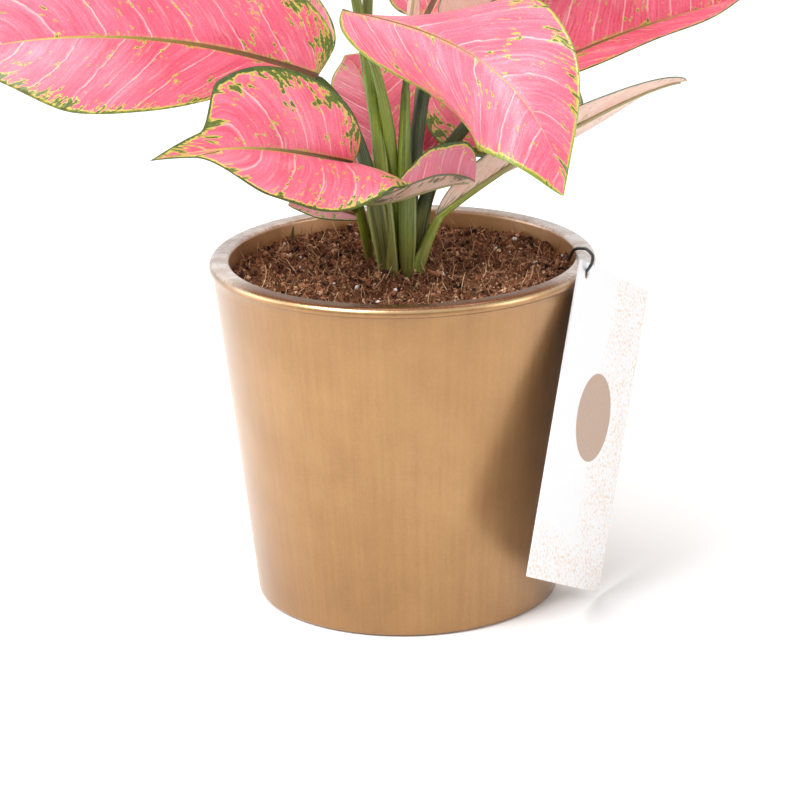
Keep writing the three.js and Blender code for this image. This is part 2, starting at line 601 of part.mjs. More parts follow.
// A perlite grain, or past GRAIN_COUNT a bark chip, sunk by about half into the mix.
function crumbGeometry(i) {
  const angle = CRUMB_TURN * i + 0.6 * scatter(i, 7);
  const radius = THREE.MathUtils.lerp(...CRUMB_RING, Math.sqrt(scatter(i, 3)));
  const x = radius * Math.cos(angle);
  const y = radius * Math.sin(angle);
  const geometry = i < GRAIN_COUNT ? grainGeometry(scatter(i, 4)) : chipGeometry(scatter(i, 4));
  geometry.rotateX(0.5 * (scatter(i, 5) - 0.5));
  geometry.rotateZ(2 * Math.PI * scatter(i, 6));
  geometry.translate(x, y, soilHeight(x, y) + GAP);
  return geometry;
}

function largest(solid) {
  const pieces = solid.decompose();
  return pieces.reduce((best, piece) => (piece.volume() > best.volume() ? piece : best));
}

// ---------------------------------------------------------------- card and wire

const cardOut = new THREE.Vector3(
  Math.sin(THREE.MathUtils.degToRad(CARD_BEARING)),
  -Math.cos(THREE.MathUtils.degToRad(CARD_BEARING)),
  0,
);
const cardLevel = new THREE.Vector3(-cardOut.y, cardOut.x, 0);
const cardHole = cardOut.clone().multiplyScalar(CARD_PLANE).addScaledVector(cardLevel, CARD_ALONG)
  .setZ(CARD_HOLE_HEIGHT);

// The wire pick: up out of the mix, out over the rim, round and through the hole in the card.
const WIRE_PATH = [
  [54, 4, 101], [55, 4, 111], [56.4, 4, 116.8], [58.9, 3.5, 120.4], [60.5, 2.2, 123.2], [61.3, 0.6, 125.4],
  [62, -2.4, 127.7], [63.2, -6, 129.3], [64.4, -11, 130.7], [65.4, -18, 132.5], [66.3, -26, 133.7],
  [67, -31.5, 133.6], [66.6, -34.2, 132.1], [65.9, -33.4, 130.3], [65.3, -31.6, 128.8], [64.9, -30, 127.6],
  [64.6, -29.6, 127.2],
];

function wireGeometry(points, radius) {
  const path = points.map(vector);
  const sizes = path.map(() => [radius, radius]);
  return tube(stationsAlong(path, new THREE.Vector3(0, 1, 0.2).normalize(), sizes), WIRE_SIDES);
}

function cardGeometry() {
  const outline = new THREE.Shape();
  outline.moveTo(-CARD.holeAcross, CARD.holeDown - CARD.height);
  outline.lineTo(CARD.width - CARD.holeAcross, CARD.holeDown - CARD.height);
  outline.lineTo(CARD.width - CARD.holeAcross, CARD.holeDown);
  outline.lineTo(-CARD.holeAcross, CARD.holeDown);
  outline.closePath();
  outline.holes.push(new THREE.Path().absarc(0, 0, CARD.holeRadius, 0, 2 * Math.PI, true));
  const settings = { depth: CARD.thickness, bevelEnabled: false, curveSegments: 16 };
  const geometry = new THREE.ExtrudeGeometry(outline, settings);
  geometry.translate(0, 0, -CARD.thickness / 2);
  geometry.rotateZ(-THREE.MathUtils.degToRad(CARD_TURN));
  const upright = new THREE.Matrix4().makeBasis(cardLevel, new THREE.Vector3(0, 0, 1), cardOut);
  geometry.applyMatrix4(upright.setPosition(cardHole));
  return geometry;
}

// A single thin shoot that stands by itself, leaning a little.
function sproutGeometry() {
  const path = SPROUT_TAPER.map((_, i) => {
    const share = i / (SPROUT_TAPER.length - 1);
    const height = THREE.MathUtils.lerp(SPROUT.foot, SPROUT.tip, share);
    return new THREE.Vector3(SPROUT.x + SPROUT.lean * share * share, SPROUT.y, height);
  });
  const sizes = SPROUT_TAPER.map((share) => [SPROUT.radius * share, SPROUT.radius * share]);
  return tube(stationsAlong(path, new THREE.Vector3(0, 1, 0), sizes), SPROUT_SIDES);
}

// ---------------------------------------------------------------- the plant in its pot

const crownGeometry = cylinderAlongZ(CROWN.x, CROWN.y, CROWN.radius, CROWN.bottom, CROWN.top, 20);

addNode('pot', potGeometry(), COLOURS.pot);
addNode('soil', soilGeometry(), COLOURS.soil);
addNode('crown', crownGeometry, COLOURS.crown);

for (const [name, leaf] of Object.entries(LEAVES)) {
  leaf.length = lengthOf(leaf.midrib);
  leaf.keel = Math.min(KEEL_START, leaf.radius[2]);
  addNode(`${name}_blade`, bladeGeometry(leaf), COLOURS.blade);
  addNode(`${name}_stalk`, stalkGeometry(leaf), COLOURS.stalk);
}

addNode('tag_card', cardGeometry(), COLOURS.card);
addNode('tag_hook', wireGeometry(WIRE_PATH, WIRE_RADIUS), COLOURS.wire);

addNode('sprout', sproutGeometry(), COLOURS.stalk);

export default group;
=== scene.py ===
"""The looks of a potted Chinese evergreen: pink leaves with green margins on green stalks, in potting mix,
in a gold-painted pot with a plain card on a wire pick. Sizes are in millimetres in the row frame, and the
meshes are made in metres."""

import math
from types import SimpleNamespace

import bmesh
import bpy
import numpy as np
from mathutils import Matrix, Vector, noise


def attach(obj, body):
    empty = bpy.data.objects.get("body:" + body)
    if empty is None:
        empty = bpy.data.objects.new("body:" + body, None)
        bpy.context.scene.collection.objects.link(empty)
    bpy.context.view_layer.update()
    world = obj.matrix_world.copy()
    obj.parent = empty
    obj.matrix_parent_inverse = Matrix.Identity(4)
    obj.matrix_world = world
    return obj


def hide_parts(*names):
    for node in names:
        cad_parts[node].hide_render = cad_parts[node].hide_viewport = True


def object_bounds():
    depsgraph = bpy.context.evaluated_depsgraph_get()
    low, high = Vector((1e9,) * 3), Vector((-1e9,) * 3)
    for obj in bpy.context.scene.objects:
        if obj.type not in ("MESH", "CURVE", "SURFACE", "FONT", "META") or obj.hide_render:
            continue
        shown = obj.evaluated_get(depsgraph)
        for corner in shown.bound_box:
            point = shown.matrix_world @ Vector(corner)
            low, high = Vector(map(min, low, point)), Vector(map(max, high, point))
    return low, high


MM = 0.001

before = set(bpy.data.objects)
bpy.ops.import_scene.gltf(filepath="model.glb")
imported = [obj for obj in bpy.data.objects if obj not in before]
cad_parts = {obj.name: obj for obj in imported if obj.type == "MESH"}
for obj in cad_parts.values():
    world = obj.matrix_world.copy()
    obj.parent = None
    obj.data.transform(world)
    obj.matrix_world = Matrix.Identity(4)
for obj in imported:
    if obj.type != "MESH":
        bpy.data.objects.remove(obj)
cad_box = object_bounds()


# ---------------------------------------------------------------- the part's own dimensions

POT_HEIGHT = 127
RIM_RADIUS = 70
BASE_RADIUS = 55.5
BASE_ROUNDING = 1.8
LIP_ROUNDING = 2.4
LIP_HEIGHT = 3.9
UNDER_LIP_RADIUS = 68.8
LIP_STEP_OUT = 0.5
LIP_STEP_UP = 0.5
MOUTH_RADIUS = 62.6
MOUTH_ROUNDING = 1.6
FLOOR_THICKNESS = 8
FLOOR_RADIUS = 49
CORNER_OUT = 1
CORNER_UP = 3

SOIL_TOP = 120.5
SOIL_MOUND = 1.6
MOUND_RADIUS = 22

CROWN_X = -0.8
CROWN_Y = -5.7
STALK_FOOT = 114.8
OUTER_RING = 5.1
INNER_RING = 2.15
SHOOT_FOOT = (-12, 10.5, 115)

VEIN_SWEEP = 0.3
VEIN_BEND = 1.6
LOBE_PLACE = 0.07
KEEL_START = 1.25
KEEL_END = 0.4

CARD_WIDTH = 70
CARD_HEIGHT = 113
CARD_THICKNESS = 0.6
CARD_HOLE_ACROSS = 8
CARD_HOLE_DOWN = 3.8
CARD_HOLE_RADIUS = 2.0
CARD_BEARING = 63.5
CARD_TURN = 24.8
CARD_HOLE_HEIGHT = 126.8
CARD_ALONG = 2.5
CARD_PLANE = 71.3
CARD_CORNER = 0.6
CARD_HOLE_SIDES = 48
DISC_RADIUS = 16
DISC_ACROSS = 1.5          # the printed disc lies so far across and up from the card's middle
DISC_UP = 4.6
WIRE_RADIUS = 0.6
WIRE_SIDES = 20

CAMERA_PLACE = (-1.8, -1150, 454.2)
CAMERA_PITCH = 18.424     # degrees down
CAMERA_ROLL = -1.078
CAMERA_LENS = 148.55
CAMERA_SENSOR = 36
FLOOR_SIZE = 6000
FLOOR_DOWN = 0.05
WORLD_LIGHT = 0.66


# ---------------------------------------------------------------- vectors

def unit(v):
    return v / np.maximum(np.linalg.norm(v, axis=-1, keepdims=True), 1e-9)


def dot(a, b):
    return (a * b).sum(-1, keepdims=True)


def smoothstep(x, low, high):
    x = np.clip((x - low) / (high - low), 0, 1)
    return x * x * (3 - 2 * x)


def bezier(points, t):
    a, b, c, d = np.array(points, float)
    t = np.asarray(t, float)[..., None]
    u = 1 - t
    return u**3 * a + 3 * u * u * t * b + 3 * u * t * t * c + t**3 * d


def bezier_slope(points, t):
    a, b, c, d = np.array(points, float)
    t = np.asarray(t, float)[..., None]
    u = 1 - t
    return 3 * u * u * (b - a) + 6 * u * t * (c - b) + 3 * t * t * (d - c)


def between(values, s):
    """A value given at base, middle and tip, taken at a share s of the way."""
    base, middle, tip = values
    return base * (1 - s) * (1 - 2 * s) + middle * 4 * s * (1 - s) + tip * s * (2 * s - 1)


# ---------------------------------------------------------------- the leaves

def half(width, lobe, fold, curl, wave=(0, 2, 0), shape=(0.65, 0.75, 0.45)):
    """A half of a blade: width, how far its base lobe reaches back, the fold up from the midrib and the
    further curl in degrees at base, middle and tip, the wave (height, count, phase), and the outline."""
    return dict(width=width, lobe=lobe, fold=fold, curl=curl, wave=wave, shape=shape)


def on_ring(radius, degrees):
    angle = math.radians(degrees)
    return (CROWN_X + radius * math.cos(angle), CROWN_Y + radius * math.sin(angle), STALK_FOOT)


# midrib: control points from the joint to the tip. face: where the upper side looks, at the joint and at
# the tip. stalk: control points, and the joint is the fourth. radius: the stalk's, at foot, middle, joint.
LEAVES = {
    "leaf_01": dict(
        midrib=((-28.7, -8, 194.5), (-65.2, -12, 210.5), (-114.3, -20, 219.6), (-163.8, -30, 207.3)),
        face=((0, -0.7, 0.71), (0, -0.62, 0.78)),
        left=half(36, 4, (12, 11, 25), (-5, -17, 0), (1.2, 2.2, 0.1), (1.2, 0.95, 0.35)),
        right=half(40, 9.5, (28, 18, 10), (7, 0, 0), (1.2, 2, 0.4), (0.65, 0.8, 0.4)),
        stalk=(on_ring(OUTER_RING, -158), (-7.6, -8.5, 150.7), (-15, -8, 183.1)),
        radius=(1.6, 1.9, 1.55),
    ),
    "leaf_02": dict(
        midrib=((-17.1, -22, 166.4), (-37.1, -34, 173.8), (-51.1, -46, 182.4), (-85.5, -56, 177.4)),
        face=((0, -0.72, 0.69), (0, -0.6, 0.8)),
        left=half(32.6, 15, (58, 14, 20), (-33, -4, 0), (1, 1.6, 0.3), (0.36, 1.1, 0.75, 0.55, 0.26)),
        right=half(30, 3.5, (65, 33, 22), (-6, -22, 0), (0.8, 1.8, 0.2), (0.73, 1.1, 0.63, 0.62, 0.13)),
        stalk=(SHOOT_FOOT, (-11.2, 9.8, 129.6), (-17.6, -6, 154.2)),
        radius=(1.3, 1.3, 1.1),
    ),
    "leaf_03": dict(
        midrib=((-17.6, -14, 151.4), (-3.2, -17, 147.5), (11.9, -19, 159.8), (26.1, -20, 158.3)),
        face=((0, -0.2, 0.98), (0, -0.2, 0.98)),
        left=half(15.2, 1, (25, 54, 58), (0, 18, 0), (1, 2, 0), (1.4, 0.3, 0)),
        right=half(9.3, 1.7, (35, 46, 60), (0, 0, 0), (0, 2, 0), (0.83, 0.7, 0.3)),
        stalk=((-16.34, -3.96, 144.3), (-18.3, -6.4, 146.4), (-20.2, -10.5, 148.6)),
        radius=(0.9, 0.9, 0.8),
    ),
    "leaf_04": dict(
        midrib=((12.8, -1, 141.4), (36.4, 5, 159.2), (89.3, 12, 187.1), (103.9, 16, 185)),
        face=((-0.3, 0.6, 0.75), (-0.2, 0.5, 0.8)),
        left=half(19.9, 3, (35, 8, 26), (0, 0, 0), (0, 2, 0), (0.5, 0.84, 0.34)),
        right=half(16.1, 2, (62, 3, 2), (0, 0, 0), (0, 2, 0), (0.94, 0.83, 0.36)),
        stalk=(on_ring(OUTER_RING, -22), (5.2, -6.8, 125), (9.1, -3, 133.8)),
        radius=(1.6, 1.7, 1.5),
    ),
    "leaf_05": dict(
        midrib=((-19.3, -12, 219.4), (6.3, -42, 219.7), (46.6, -86, 219), (53.6, -92, 171.9)),
        face=((-0.34, -0.2, 0.92), (0.2, -0.55, 0.8)),
        left=half(32.5, 4.8, (-60, 19, -2), (-50, -16, -3), (1, 2, 0.1), (0.45, 1, 0.45)),
        right=half(27, 5.7, (-41, -37, 0), (-23, -78, -8), (1, 2.2, 0.6), (0.78, 0.78, 0.25)),
        stalk=(on_ring(INNER_RING, -135), (-1.1, -3.5, 150.9), (-2.7, -4, 201.7)),
        radius=(1.4, 1.5, 1.1),
    ),
    "leaf_06": dict(
        midrib=((39.3, 14, 184.8), (84.9, 18, 207.8), (103.3, 27, 205.2), (131, 36, 213.7)),
        face=((0, -0.5, 0.87), (0, -0.6, 0.8)),
        left=half(37, 8, (30, 35, 20), (0, 0, 0), (1.2, 2, 0.2)),
        right=half(30.5, 5, (19, 35, 53), (0, 8, 0), (1.2, 2, 0.5), (0.9, 0.8, 0.46)),
        stalk=(on_ring(OUTER_RING, 22), (6, 2.5, 150.7), (14.9, 13, 167.1)),
        radius=(1.6, 1.9, 1.6),
    ),
    "leaf_07": dict(
        midrib=((16.9, 14, 208.1), (49.3, 18, 222.2), (80.4, 26, 238.4), (109.5, 34, 258.1)),
        face=((-0.3, 0.5, 0.8), (-0.2, 0.4, 0.9)),
        left=half(32, 6, (25, 25, 20), (0, 0, 0)),
        right=half(32, 6, (25, 25, 20), (0, 0, 0)),
        stalk=(on_ring(INNER_RING, -45), (3.5, -4.5, 145.8), (4.6, 1, 189.2)),
        radius=(1.4, 2, 1.6),
    ),
    "leaf_08": dict(
        midrib=((-16, 6, 236.2), (-41.3, 12, 266.3), (-78.8, 24, 289.5), (-119.3, 36, 281.7)),
        face=((0.3, -0.1, 0.95), (-0.3, -0.1, 0.95)),
        left=half(36, 8, (15, 15, 10), (0, -10, 0), (1.5, 2, 0.3)),
        right=half(36, 2, (15, 15, 10), (0, -10, 0), (1.5, 2, 0.7)),
        stalk=(on_ring(OUTER_RING, -112), (-3.2, -9.5, 145.7), (-10.8, -1, 194.2)),
        radius=(1.6, 1.7, 1.6),
    ),
    "leaf_09": dict(
        midrib=((-5.4, 16, 155.1), (-10.1, 32, 167.8), (-11.9, 48, 185.2), (-20.2, 64, 186.1)),
        face=((0, -0.6, 0.8), (0, -0.5, 0.85)),
        left=half(14.5, 7.7, (10, 10, 10), (0, 0, 0), (0, 2, 0), (0.4, 0.87, 0.44)),
        right=half(25, 9, (10, 10, 10), (0, 0, 0), (0, 2, 0), (0.4, 0.89, 0.45)),
        stalk=(on_ring(OUTER_RING, 112), (-0.9, 2.5, 131.5), (-1.6, 10, 146.5)),
        radius=(1.5, 1.6, 1.4),
    ),
    "leaf_10": dict(
        midrib=((8.2, 28, 182.3), (25, 38, 182), (43.4, 64, 187.3), (55.5, 88, 181.8)),
        face=((0, -0.85, 0.5), (0, -0.5, 0.85)),
        left=half(20, 5, (0, 0, 0), (0, 0, 0)),
        right=half(41.7, 11.5, (9, -6, 2), (0, 0, 0), (0, 2, 0), (0.58, 0.89, 0.3)),
        stalk=(on_ring(INNER_RING, 45), (3.3, -1, 146), (5.9, 11, 171.1)),
        radius=(1.4, 1.6, 1.5),
    ),
    "leaf_11": dict(
        midrib=((-14.3, 9, 138.5), (-23.8, 7, 141.9), (-31.8, 5, 145), (-40.8, 2, 145.3)),
        face=((0, -0.1, 1), (0, -0.1, 1)),
        left=half(12.8, 1.2, (-1, 1, -7), (-17, -4, 0), (0, 2, 0), (0.9, 0.75, 0.36)),
        right=half(13, 2, (20, 15, 5), (0, 0, 0)),
        stalk=(on_ring(OUTER_RING, 157), (-5.2, -1.3, 126.4), (-9.9, 6, 134.6)),
        radius=(1.4, 1.3, 1),
    ),
    "leaf_12": dict(
        midrib=((10.9, 76, 197.8), (23.9, 100, 221.6), (53.4, 128, 235.6), (84.8, 148, 220.8)),
        face=((0, -0.3, 0.95), (0.1, 0.1, 1)),
        left=half(36, 8, (12, 15, 10), (0, -10, 0), (1.5, 2, 0.1)),
        right=half(36, 8, (12, 15, 10), (0, -15, 0), (1.5, 2, 0.6)),
        stalk=(on_ring(OUTER_RING, 67), (2.2, -1.5, 137), (6.1, 37, 171.5)),
        radius=(1.5, 1.8, 1.6),
    ),
    "leaf_13": dict(
        midrib=((-34, 26, 191), (-53.9, 44, 208.5), (-86.5, 76, 223.6), (-112.1, 104, 208.5)),
        face=((0.2, -0.3, 0.95), (-0.1, 0.1, 1)),
        left=half(36, 8, (14, 15, 10), (0, -10, 0), (1.5, 2, 0.8)),
        right=half(36, 8, (14, 15, 10), (0, -15, 0), (1.5, 2, 0.3)),
        stalk=(on_ring(INNER_RING, 135), (-1.5, 0, 133.3), (-12.2, 12, 170.6)),
        radius=(1.4, 1.7, 1.6),
    ),
    "leaf_14": dict(
        midrib=((2.6, 0.5, 188.6), (3.3, 2, 200.4), (4.6, 3.5, 214.2), (6.8, 5, 226)),
        face=((0.2, 0.95, 0.1), (0.1, 0.9, 0.3)),
        left=half(7, 1, (60, 60, 50), (30, 30, 20)),
        right=half(7, 1, (60, 60, 50), (30, 30, 20)),
        stalk=(on_ring(OUTER_RING, -68), (1.2, -9.5, 140.7), (1.2, -5, 169.3)),
        radius=(1.5, 2, 1.4),
    ),
    "leaf_15": dict(
        midrib=((1.5, 14, 259.9), (7.9, 10, 286.5), (4.3, -4, 316), (-9.1, -18, 335.7)),
        face=((0.3, 0.9, 0.2), (0.1, 0.6, 0.8)),
        left=half(24, 4, (50, 45, 30), (10, 10, 0), (1, 2, 0.2)),
        right=half(24, 4, (50, 45, 30), (10, 10, 0), (1, 2, 0.6)),
        stalk=((-7.1, -1.1, 170.3), (-12.6, 5, 203.9), (-14.1, 12, 230.8)),
        radius=(1.2, 1.4, 1.3),
    ),
}


def look(veins=9, pink=0.6, green=0.35, spots=(), stalk=0.5, sheath=0.45, seed=0, band=(0.8, 0.8),
         dark=0.5, rib=1.0, dusk_shade=0.0):
    """How a leaf is coloured. veins: side veins in each half. pink: pale 0 to saturated 1. green: how freely
    it is spotted. spots: (share, out, size, amount), spotted patches at a share of the midrib and a signed
    share of the half's width. stalk: dark 0 to light 1. sheath: the share of it that is winged. band: the
    green margin's width in the left and the right half, in millimetres. dark: lime 0 to deep green 1, the
    colour of that margin. rib: how plain its midrib is. The last: how much its pink is dulled to purple,
    partly the leaf's own dusky tint and partly painted shade."""
    return dict(veins=veins, pink=pink, green=green, spots=spots, stalk=stalk, sheath=sheath, seed=seed,
                band=band, dark=dark, rib=rib, dusk_shade=dusk_shade)


LOOKS = {
    "leaf_01": look(8, 0.75, 0.8, ((0.07, 0.65, 0.2, 0.11), (0.75, -0.95, 0.14, 0.1)), 0.15, 0.5, 1,
                    (0.7, 0.9), 0.4),
    "leaf_02": look(6, 0.65, 0.85, ((0.12, 0.85, 0.25, 0.09), (0.4, 0.75, 0.2, 0.07), (0.3, -0.7, 0.25, 0.06),
                                     (0.92, 0.0, 0.16, -0.12)), 0.9, 0.0, 2, (0.9, 1.5), 0.8),
    "leaf_03": look(6, 0.7, 0.6, (), 0.6, 0.0, 3, (1.0, 1.0), 0.9, 0.7, 0.85),
    "leaf_04": look(7, 0.5, 0.5, ((0.05, -0.3, 0.2, 0.12),), 0.95, 0.6, 4, (0.7, 0.7), 0.7, 1.0),
    "leaf_05": look(7, 0.66, 0.5, (), 0.75, 0.75, 5, (0.3, 1.4), 0.2, 0.3),
    "leaf_06": look(9, 0.85, 0.5, (), 0.1, 0.4, 6, (0.6, 0.9), 0.7, 0.6),
    "leaf_07": look(8, 0.6, 0.4, (), 0.0, 0.5, 7),
    "leaf_08": look(9, 0.7, 0.5, (), 0.65, 0.5, 8),
    "leaf_09": look(6, 1.05, 0.2, (), 0.5, 0.5, 9, (0.3, 0.3), 0.3, 0.6),
    "leaf_10": look(7, 0.6, 0.9, ((0.15, 0.8, 0.3, 0.13),), 0.4, 0.5, 10, (0.8, 1.2), 0.6),
    "leaf_11": look(5, 0.4, 0.6, (), 0.8, 0.3, 11, (0.8, 1.2), 0.9, 1.0, 0.4),
    "leaf_12": look(9, 0.75, 0.5, (), 0.4, 0.5, 12),
    "leaf_13": look(9, 0.75, 0.6, (), 0.4, 0.5, 13),
    "leaf_14": look(6, 0.7, 0.2, (), 0.6, 0.6, 14),
    "leaf_15": look(7, 0.65, 0.4, (), 0.6, 0.3, 15),
}

BLADE_ROWS = 110
BLADE_COLUMNS = 26
BLADE_THICKNESS = 0.5
MARGIN_THICKNESS = 0.3
RIB_GROOVE = 0.35        # depth of the groove over the midrib
QUILT = 0.38             # how far the blade swells between its side veins
FIRST_VEIN = 0.35        # the count of side veins at the joint
LEFT_VEINS_LEAD = 0.42   # the left half's side veins lie so much of a gap ahead of the right half's


def outline_width(t, shape):
    base_power, tip_power, drawn_out, *rest = shape
    start, over = rest or (0.6, 0.4)
    fullest = base_power / (base_power + tip_power)
    peak = fullest**base_power * (1 - fullest) ** tip_power
    narrowing = drawn_out * smoothstep(t, start, start + over)
    return np.clip(t, 0, 1) ** base_power * np.clip(1 - t, 0, 1) ** tip_power / peak * (1 - narrowing)


def length_of(points):
    path = bezier(points, np.linspace(0, 1, 200))
    return np.linalg.norm(np.diff(path, axis=0), axis=1).sum()


def blade_frame(leaf, s):
    """The blade's frame at a share s of the midrib: point, way to the tip, upper side, right-hand side."""
    share = np.clip(s, 0, 1)
    start_slope = bezier_slope(leaf["midrib"], 0.0)
    at = bezier(leaf["midrib"], share) + np.minimum(s, 0)[..., None] * start_slope
    along = unit(bezier_slope(leaf["midrib"], share))
    first, last = (unit(np.array(face, float)) for face in leaf["face"])
    up = first * (1 - share)[..., None] + last * share[..., None]
    up = unit(up - along * dot(up, along))
    return at, along, up, np.cross(along, up)


def blade_points(leaf, t, r, side):
    """Points of the blade: t runs along the veins' feet from the joint to the tip, r along a vein from
    the midrib to the margin, and side is +1 or -1."""
    part = leaf["right"] if side > 0 else leaf["left"]
    backward = (part["lobe"] / leaf["length"]) * (t / LOBE_PLACE) * np.exp(1 - t / LOBE_PLACE)
    margin_share = t + VEIN_SWEEP * t * (1 - t) - backward
    s = t + (margin_share - t) * r**VEIN_BEND
    share = np.clip(s, 0, 1)
    out = outline_width(t, part["shape"]) * r
    fold = np.radians(between(part["fold"], share))
    curl = np.radians(between(part["curl"], share))
    curl = np.where(np.abs(curl) < 1e-4, 1e-4, curl)
    sideways = part["width"] / curl * (np.sin(fold + curl * out) - np.sin(fold))
    upward = part["width"] / curl * (np.cos(fold) - np.cos(fold + curl * out))
    height, count, phase = part["wave"]
    upward = upward + (height * out * out * np.sin(2 * math.pi * (count * share + phase))
                       * np.minimum(1, 8 * (1 - share)))
    at, _, up, right = blade_frame(leaf, s)
    return at + right * (sideways * side)[..., None] + up * upward[..., None]


def vein_turns(t, r, count, seed):
    """Counts the side veins from the joint to the tip: a vein runs where it is a whole number, and leans to
    the tip as it goes out to the margin."""
    lean = 0.24 * r**1.15 * (1 - t) ** 0.6
    sway = 0.14 * np.sin(2 * math.pi * (1.3 * t + 0.37 * seed))
    return count * (t - lean) + FIRST_VEIN + sway


# ---------------------------------------------------------------- meshes

def mesh_object(name, points, faces, smooth=True, attributes=(), face_materials=None):
    """A mesh object from points in millimetres. attributes: (name, values), a number for each point."""
    mesh = bpy.data.meshes.new(name)
    mesh.from_pydata((np.asarray(points, float) * MM).tolist(), [], faces)
    mesh.update()
    for key, values in attributes:
        layer = mesh.attributes.new(key, "FLOAT", "POINT")
        layer.data.foreach_set("value", np.asarray(values, np.float32))
    mesh.polygons.foreach_set("use_smooth", [smooth] * len(mesh.polygons))
    if face_materials is not None:
        mesh.polygons.foreach_set("material_index", face_materials)
    obj = bpy.data.objects.new(name, mesh)
    bpy.context.scene.collection.objects.link(obj)
    return obj


def keep_in_box(mesh):
    """Moves the few points where a blade's swell goes a hair past the part's box back to the box."""
    places = np.empty(len(mesh.vertices) * 3)
    mesh.vertices.foreach_get("co", places)
    mesh.vertices.foreach_set("co", np.clip(places.reshape(-1, 3), cad_box[0], cad_box[1]).ravel())
    mesh.update()


def dress(obj, slot, materials, *nodes):
    """Gives a piece its materials, sets it on the part and takes the nodes' place. Its slot is not used."""
    keep_in_box(obj.data)
    for material in materials:
        obj.data.materials.append(material)
    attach(obj, "root")
    if nodes:
        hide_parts(*nodes)
    return obj


def round_angles(sides):
    return 2 * math.pi * np.arange(sides) / sides


def rings_along(path, ups, side, angle, radii):
    """Points of the rings round a path, ring by ring. radii: a row for each ring."""
    rings = (path[:, None] + ups[:, None] * (np.cos(angle) * radii)[..., None]
             + side[:, None] * (np.sin(angle) * radii)[..., None])
    return rings.reshape(-1, 3)


def grid_faces(rows, columns):
    """Quads of a grid of points given row by row."""
    index = np.arange(rows * columns).reshape(rows, columns)
    corners = index[:-1, :-1], index[1:, :-1], index[1:, 1:], index[:-1, 1:]
    return np.stack([c.ravel() for c in corners], axis=1)


def ring_faces(rings, sides):
    """Quads of a tube whose rings are given one after another."""
    index = np.arange(rings * sides).reshape(rings, sides)
    nearer = np.roll(index, -1, axis=1)
    corners = index[:-1], nearer[:-1], nearer[1:], index[1:]
    return np.stack([c.ravel() for c in corners], axis=1)


def tube_faces(rings, sides):
    """The faces of a tube with its two ends closed."""
    first = tuple(range(sides))[::-1]
    last = tuple(range((rings - 1) * sides, rings * sides))
    return [*(tuple(face) for face in ring_faces(rings, sides)), first, last]


def fan(middle, start, sides):
    """Triangles from a ring's points, which begin at start, to the point in its middle."""
    return [(middle, start + (i + 1) % sides, start + i) for i in range(sides)]


# ---------------------------------------------------------------- materials

def colour(text):
    """A linear colour from its usual six-digit form."""
    values = [int(text[i:i + 2], 16) / 255 for i in (1, 3, 5)]
    return [v / 12.92 if v <= 0.04045 else ((v + 0.055) / 1.055) ** 2.4 for v in values] + [1.0]


class Value:
    """A number in a material. Plus, minus and times join it with another, or with a plain number."""

    def __init__(self, shader, socket):
        self.shader = shader
        self.socket = socket

    def __add__(self, other):
        return self.shader.math("ADD", self, other)

    def __sub__(self, other):
        return self.shader.math("SUBTRACT", self, other)

    def __rsub__(self, other):
        return self.shader.math("SUBTRACT", other, self)

    def __mul__(self, other):
        return self.shader.math("MULTIPLY", self, other)

    __radd__ = __add__


class Shader:
    """A material's nodes: each method adds one and gives its output."""

    def __init__(self, name):
        self.material = bpy.data.materials.new(name)
        self.material.use_nodes = True
        self.tree = self.material.node_tree
        self.tree.nodes.clear()

    def node(self, kind, inputs, **settings):
        made = self.tree.nodes.new(kind)
        for key, value in settings.items():
            setattr(made, key, value)
        for key, value in inputs.items():
            if isinstance(value, Value):
                self.tree.links.new(value.socket, made.inputs[key])
            else:
                made.inputs[key].default_value = value
        return made

    def value(self, kind, inputs, output=0, **settings):
        return Value(self, self.node(kind, inputs, **settings).outputs[output])

    def attribute(self, name):
        return self.value("ShaderNodeAttribute", {}, "Fac", attribute_name=name)

    def place(self):
        return self.value("ShaderNodeTexCoord", {}, "Object")

    def math(self, operation, *values):
        return self.value("ShaderNodeMath", dict(enumerate(values)), operation=operation)

    def vector(self, *parts):
        return self.value("ShaderNodeCombineXYZ", dict(enumerate(parts)))

    def scaled(self, vector, factors):
        return self.value("ShaderNodeVectorMath", {0: vector, 1: factors}, operation="MULTIPLY")

    def noise(self, vector, scale, detail=2.0, roughness=0.5):
        inputs = {"Vector": vector, "Scale": scale, "Detail": detail, "Roughness": roughness}
        return self.value("ShaderNodeTexNoise", inputs, "Fac")

    def cells(self, vector, scale):
        return self.value("ShaderNodeTexVoronoi", {"Vector": vector, "Scale": scale}, "Distance")

    def step(self, value, low, high, bottom=0.0, top=1.0):
        """bottom to top as value goes smoothly from low to high, where low may be the greater."""
        inputs = {"Value": value, "From Min": low, "From Max": high, "To Min": bottom, "To Max": top}
        return self.value("ShaderNodeMapRange", inputs, interpolation_type="SMOOTHSTEP")

    def ramp(self, value, stops):
        made = self.node("ShaderNodeValToRGB", {0: value})
        elements = made.color_ramp.elements
        while len(elements) < len(stops):
            elements.new(0.5)
        for element, (position, tint) in zip(elements, stops):
            element.position = position
            element.color = colour(tint)
        return Value(self, made.outputs["Color"])

    def mix(self, share, first, second):
        """Two colours mixed. Each is a value or a six-digit colour."""
        first, second = (colour(c) if isinstance(c, str) else c for c in (first, second))
        return self.value("ShaderNodeMix", {"Factor": share, 6: first, 7: second}, 2, data_type="RGBA")

    def bump(self, height, distance, strength):
        inputs = {"Height": height, "Distance": distance, "Strength": strength}
        return self.value("ShaderNodeBump", inputs, "Normal")

    def surface(self, **sockets):
        inputs = {key.replace("_", " ").title().replace("Ior", "IOR"): v for key, v in sockets.items()}
        shader = self.value("ShaderNodeBsdfPrincipled", inputs)
        self.node("ShaderNodeOutputMaterial", {"Surface": shader})
        return self.material


LEAF_FLESH = dict(subsurface_weight=0.1, subsurface_radius=(0.004, 0.0015, 0.001), subsurface_scale=0.5)


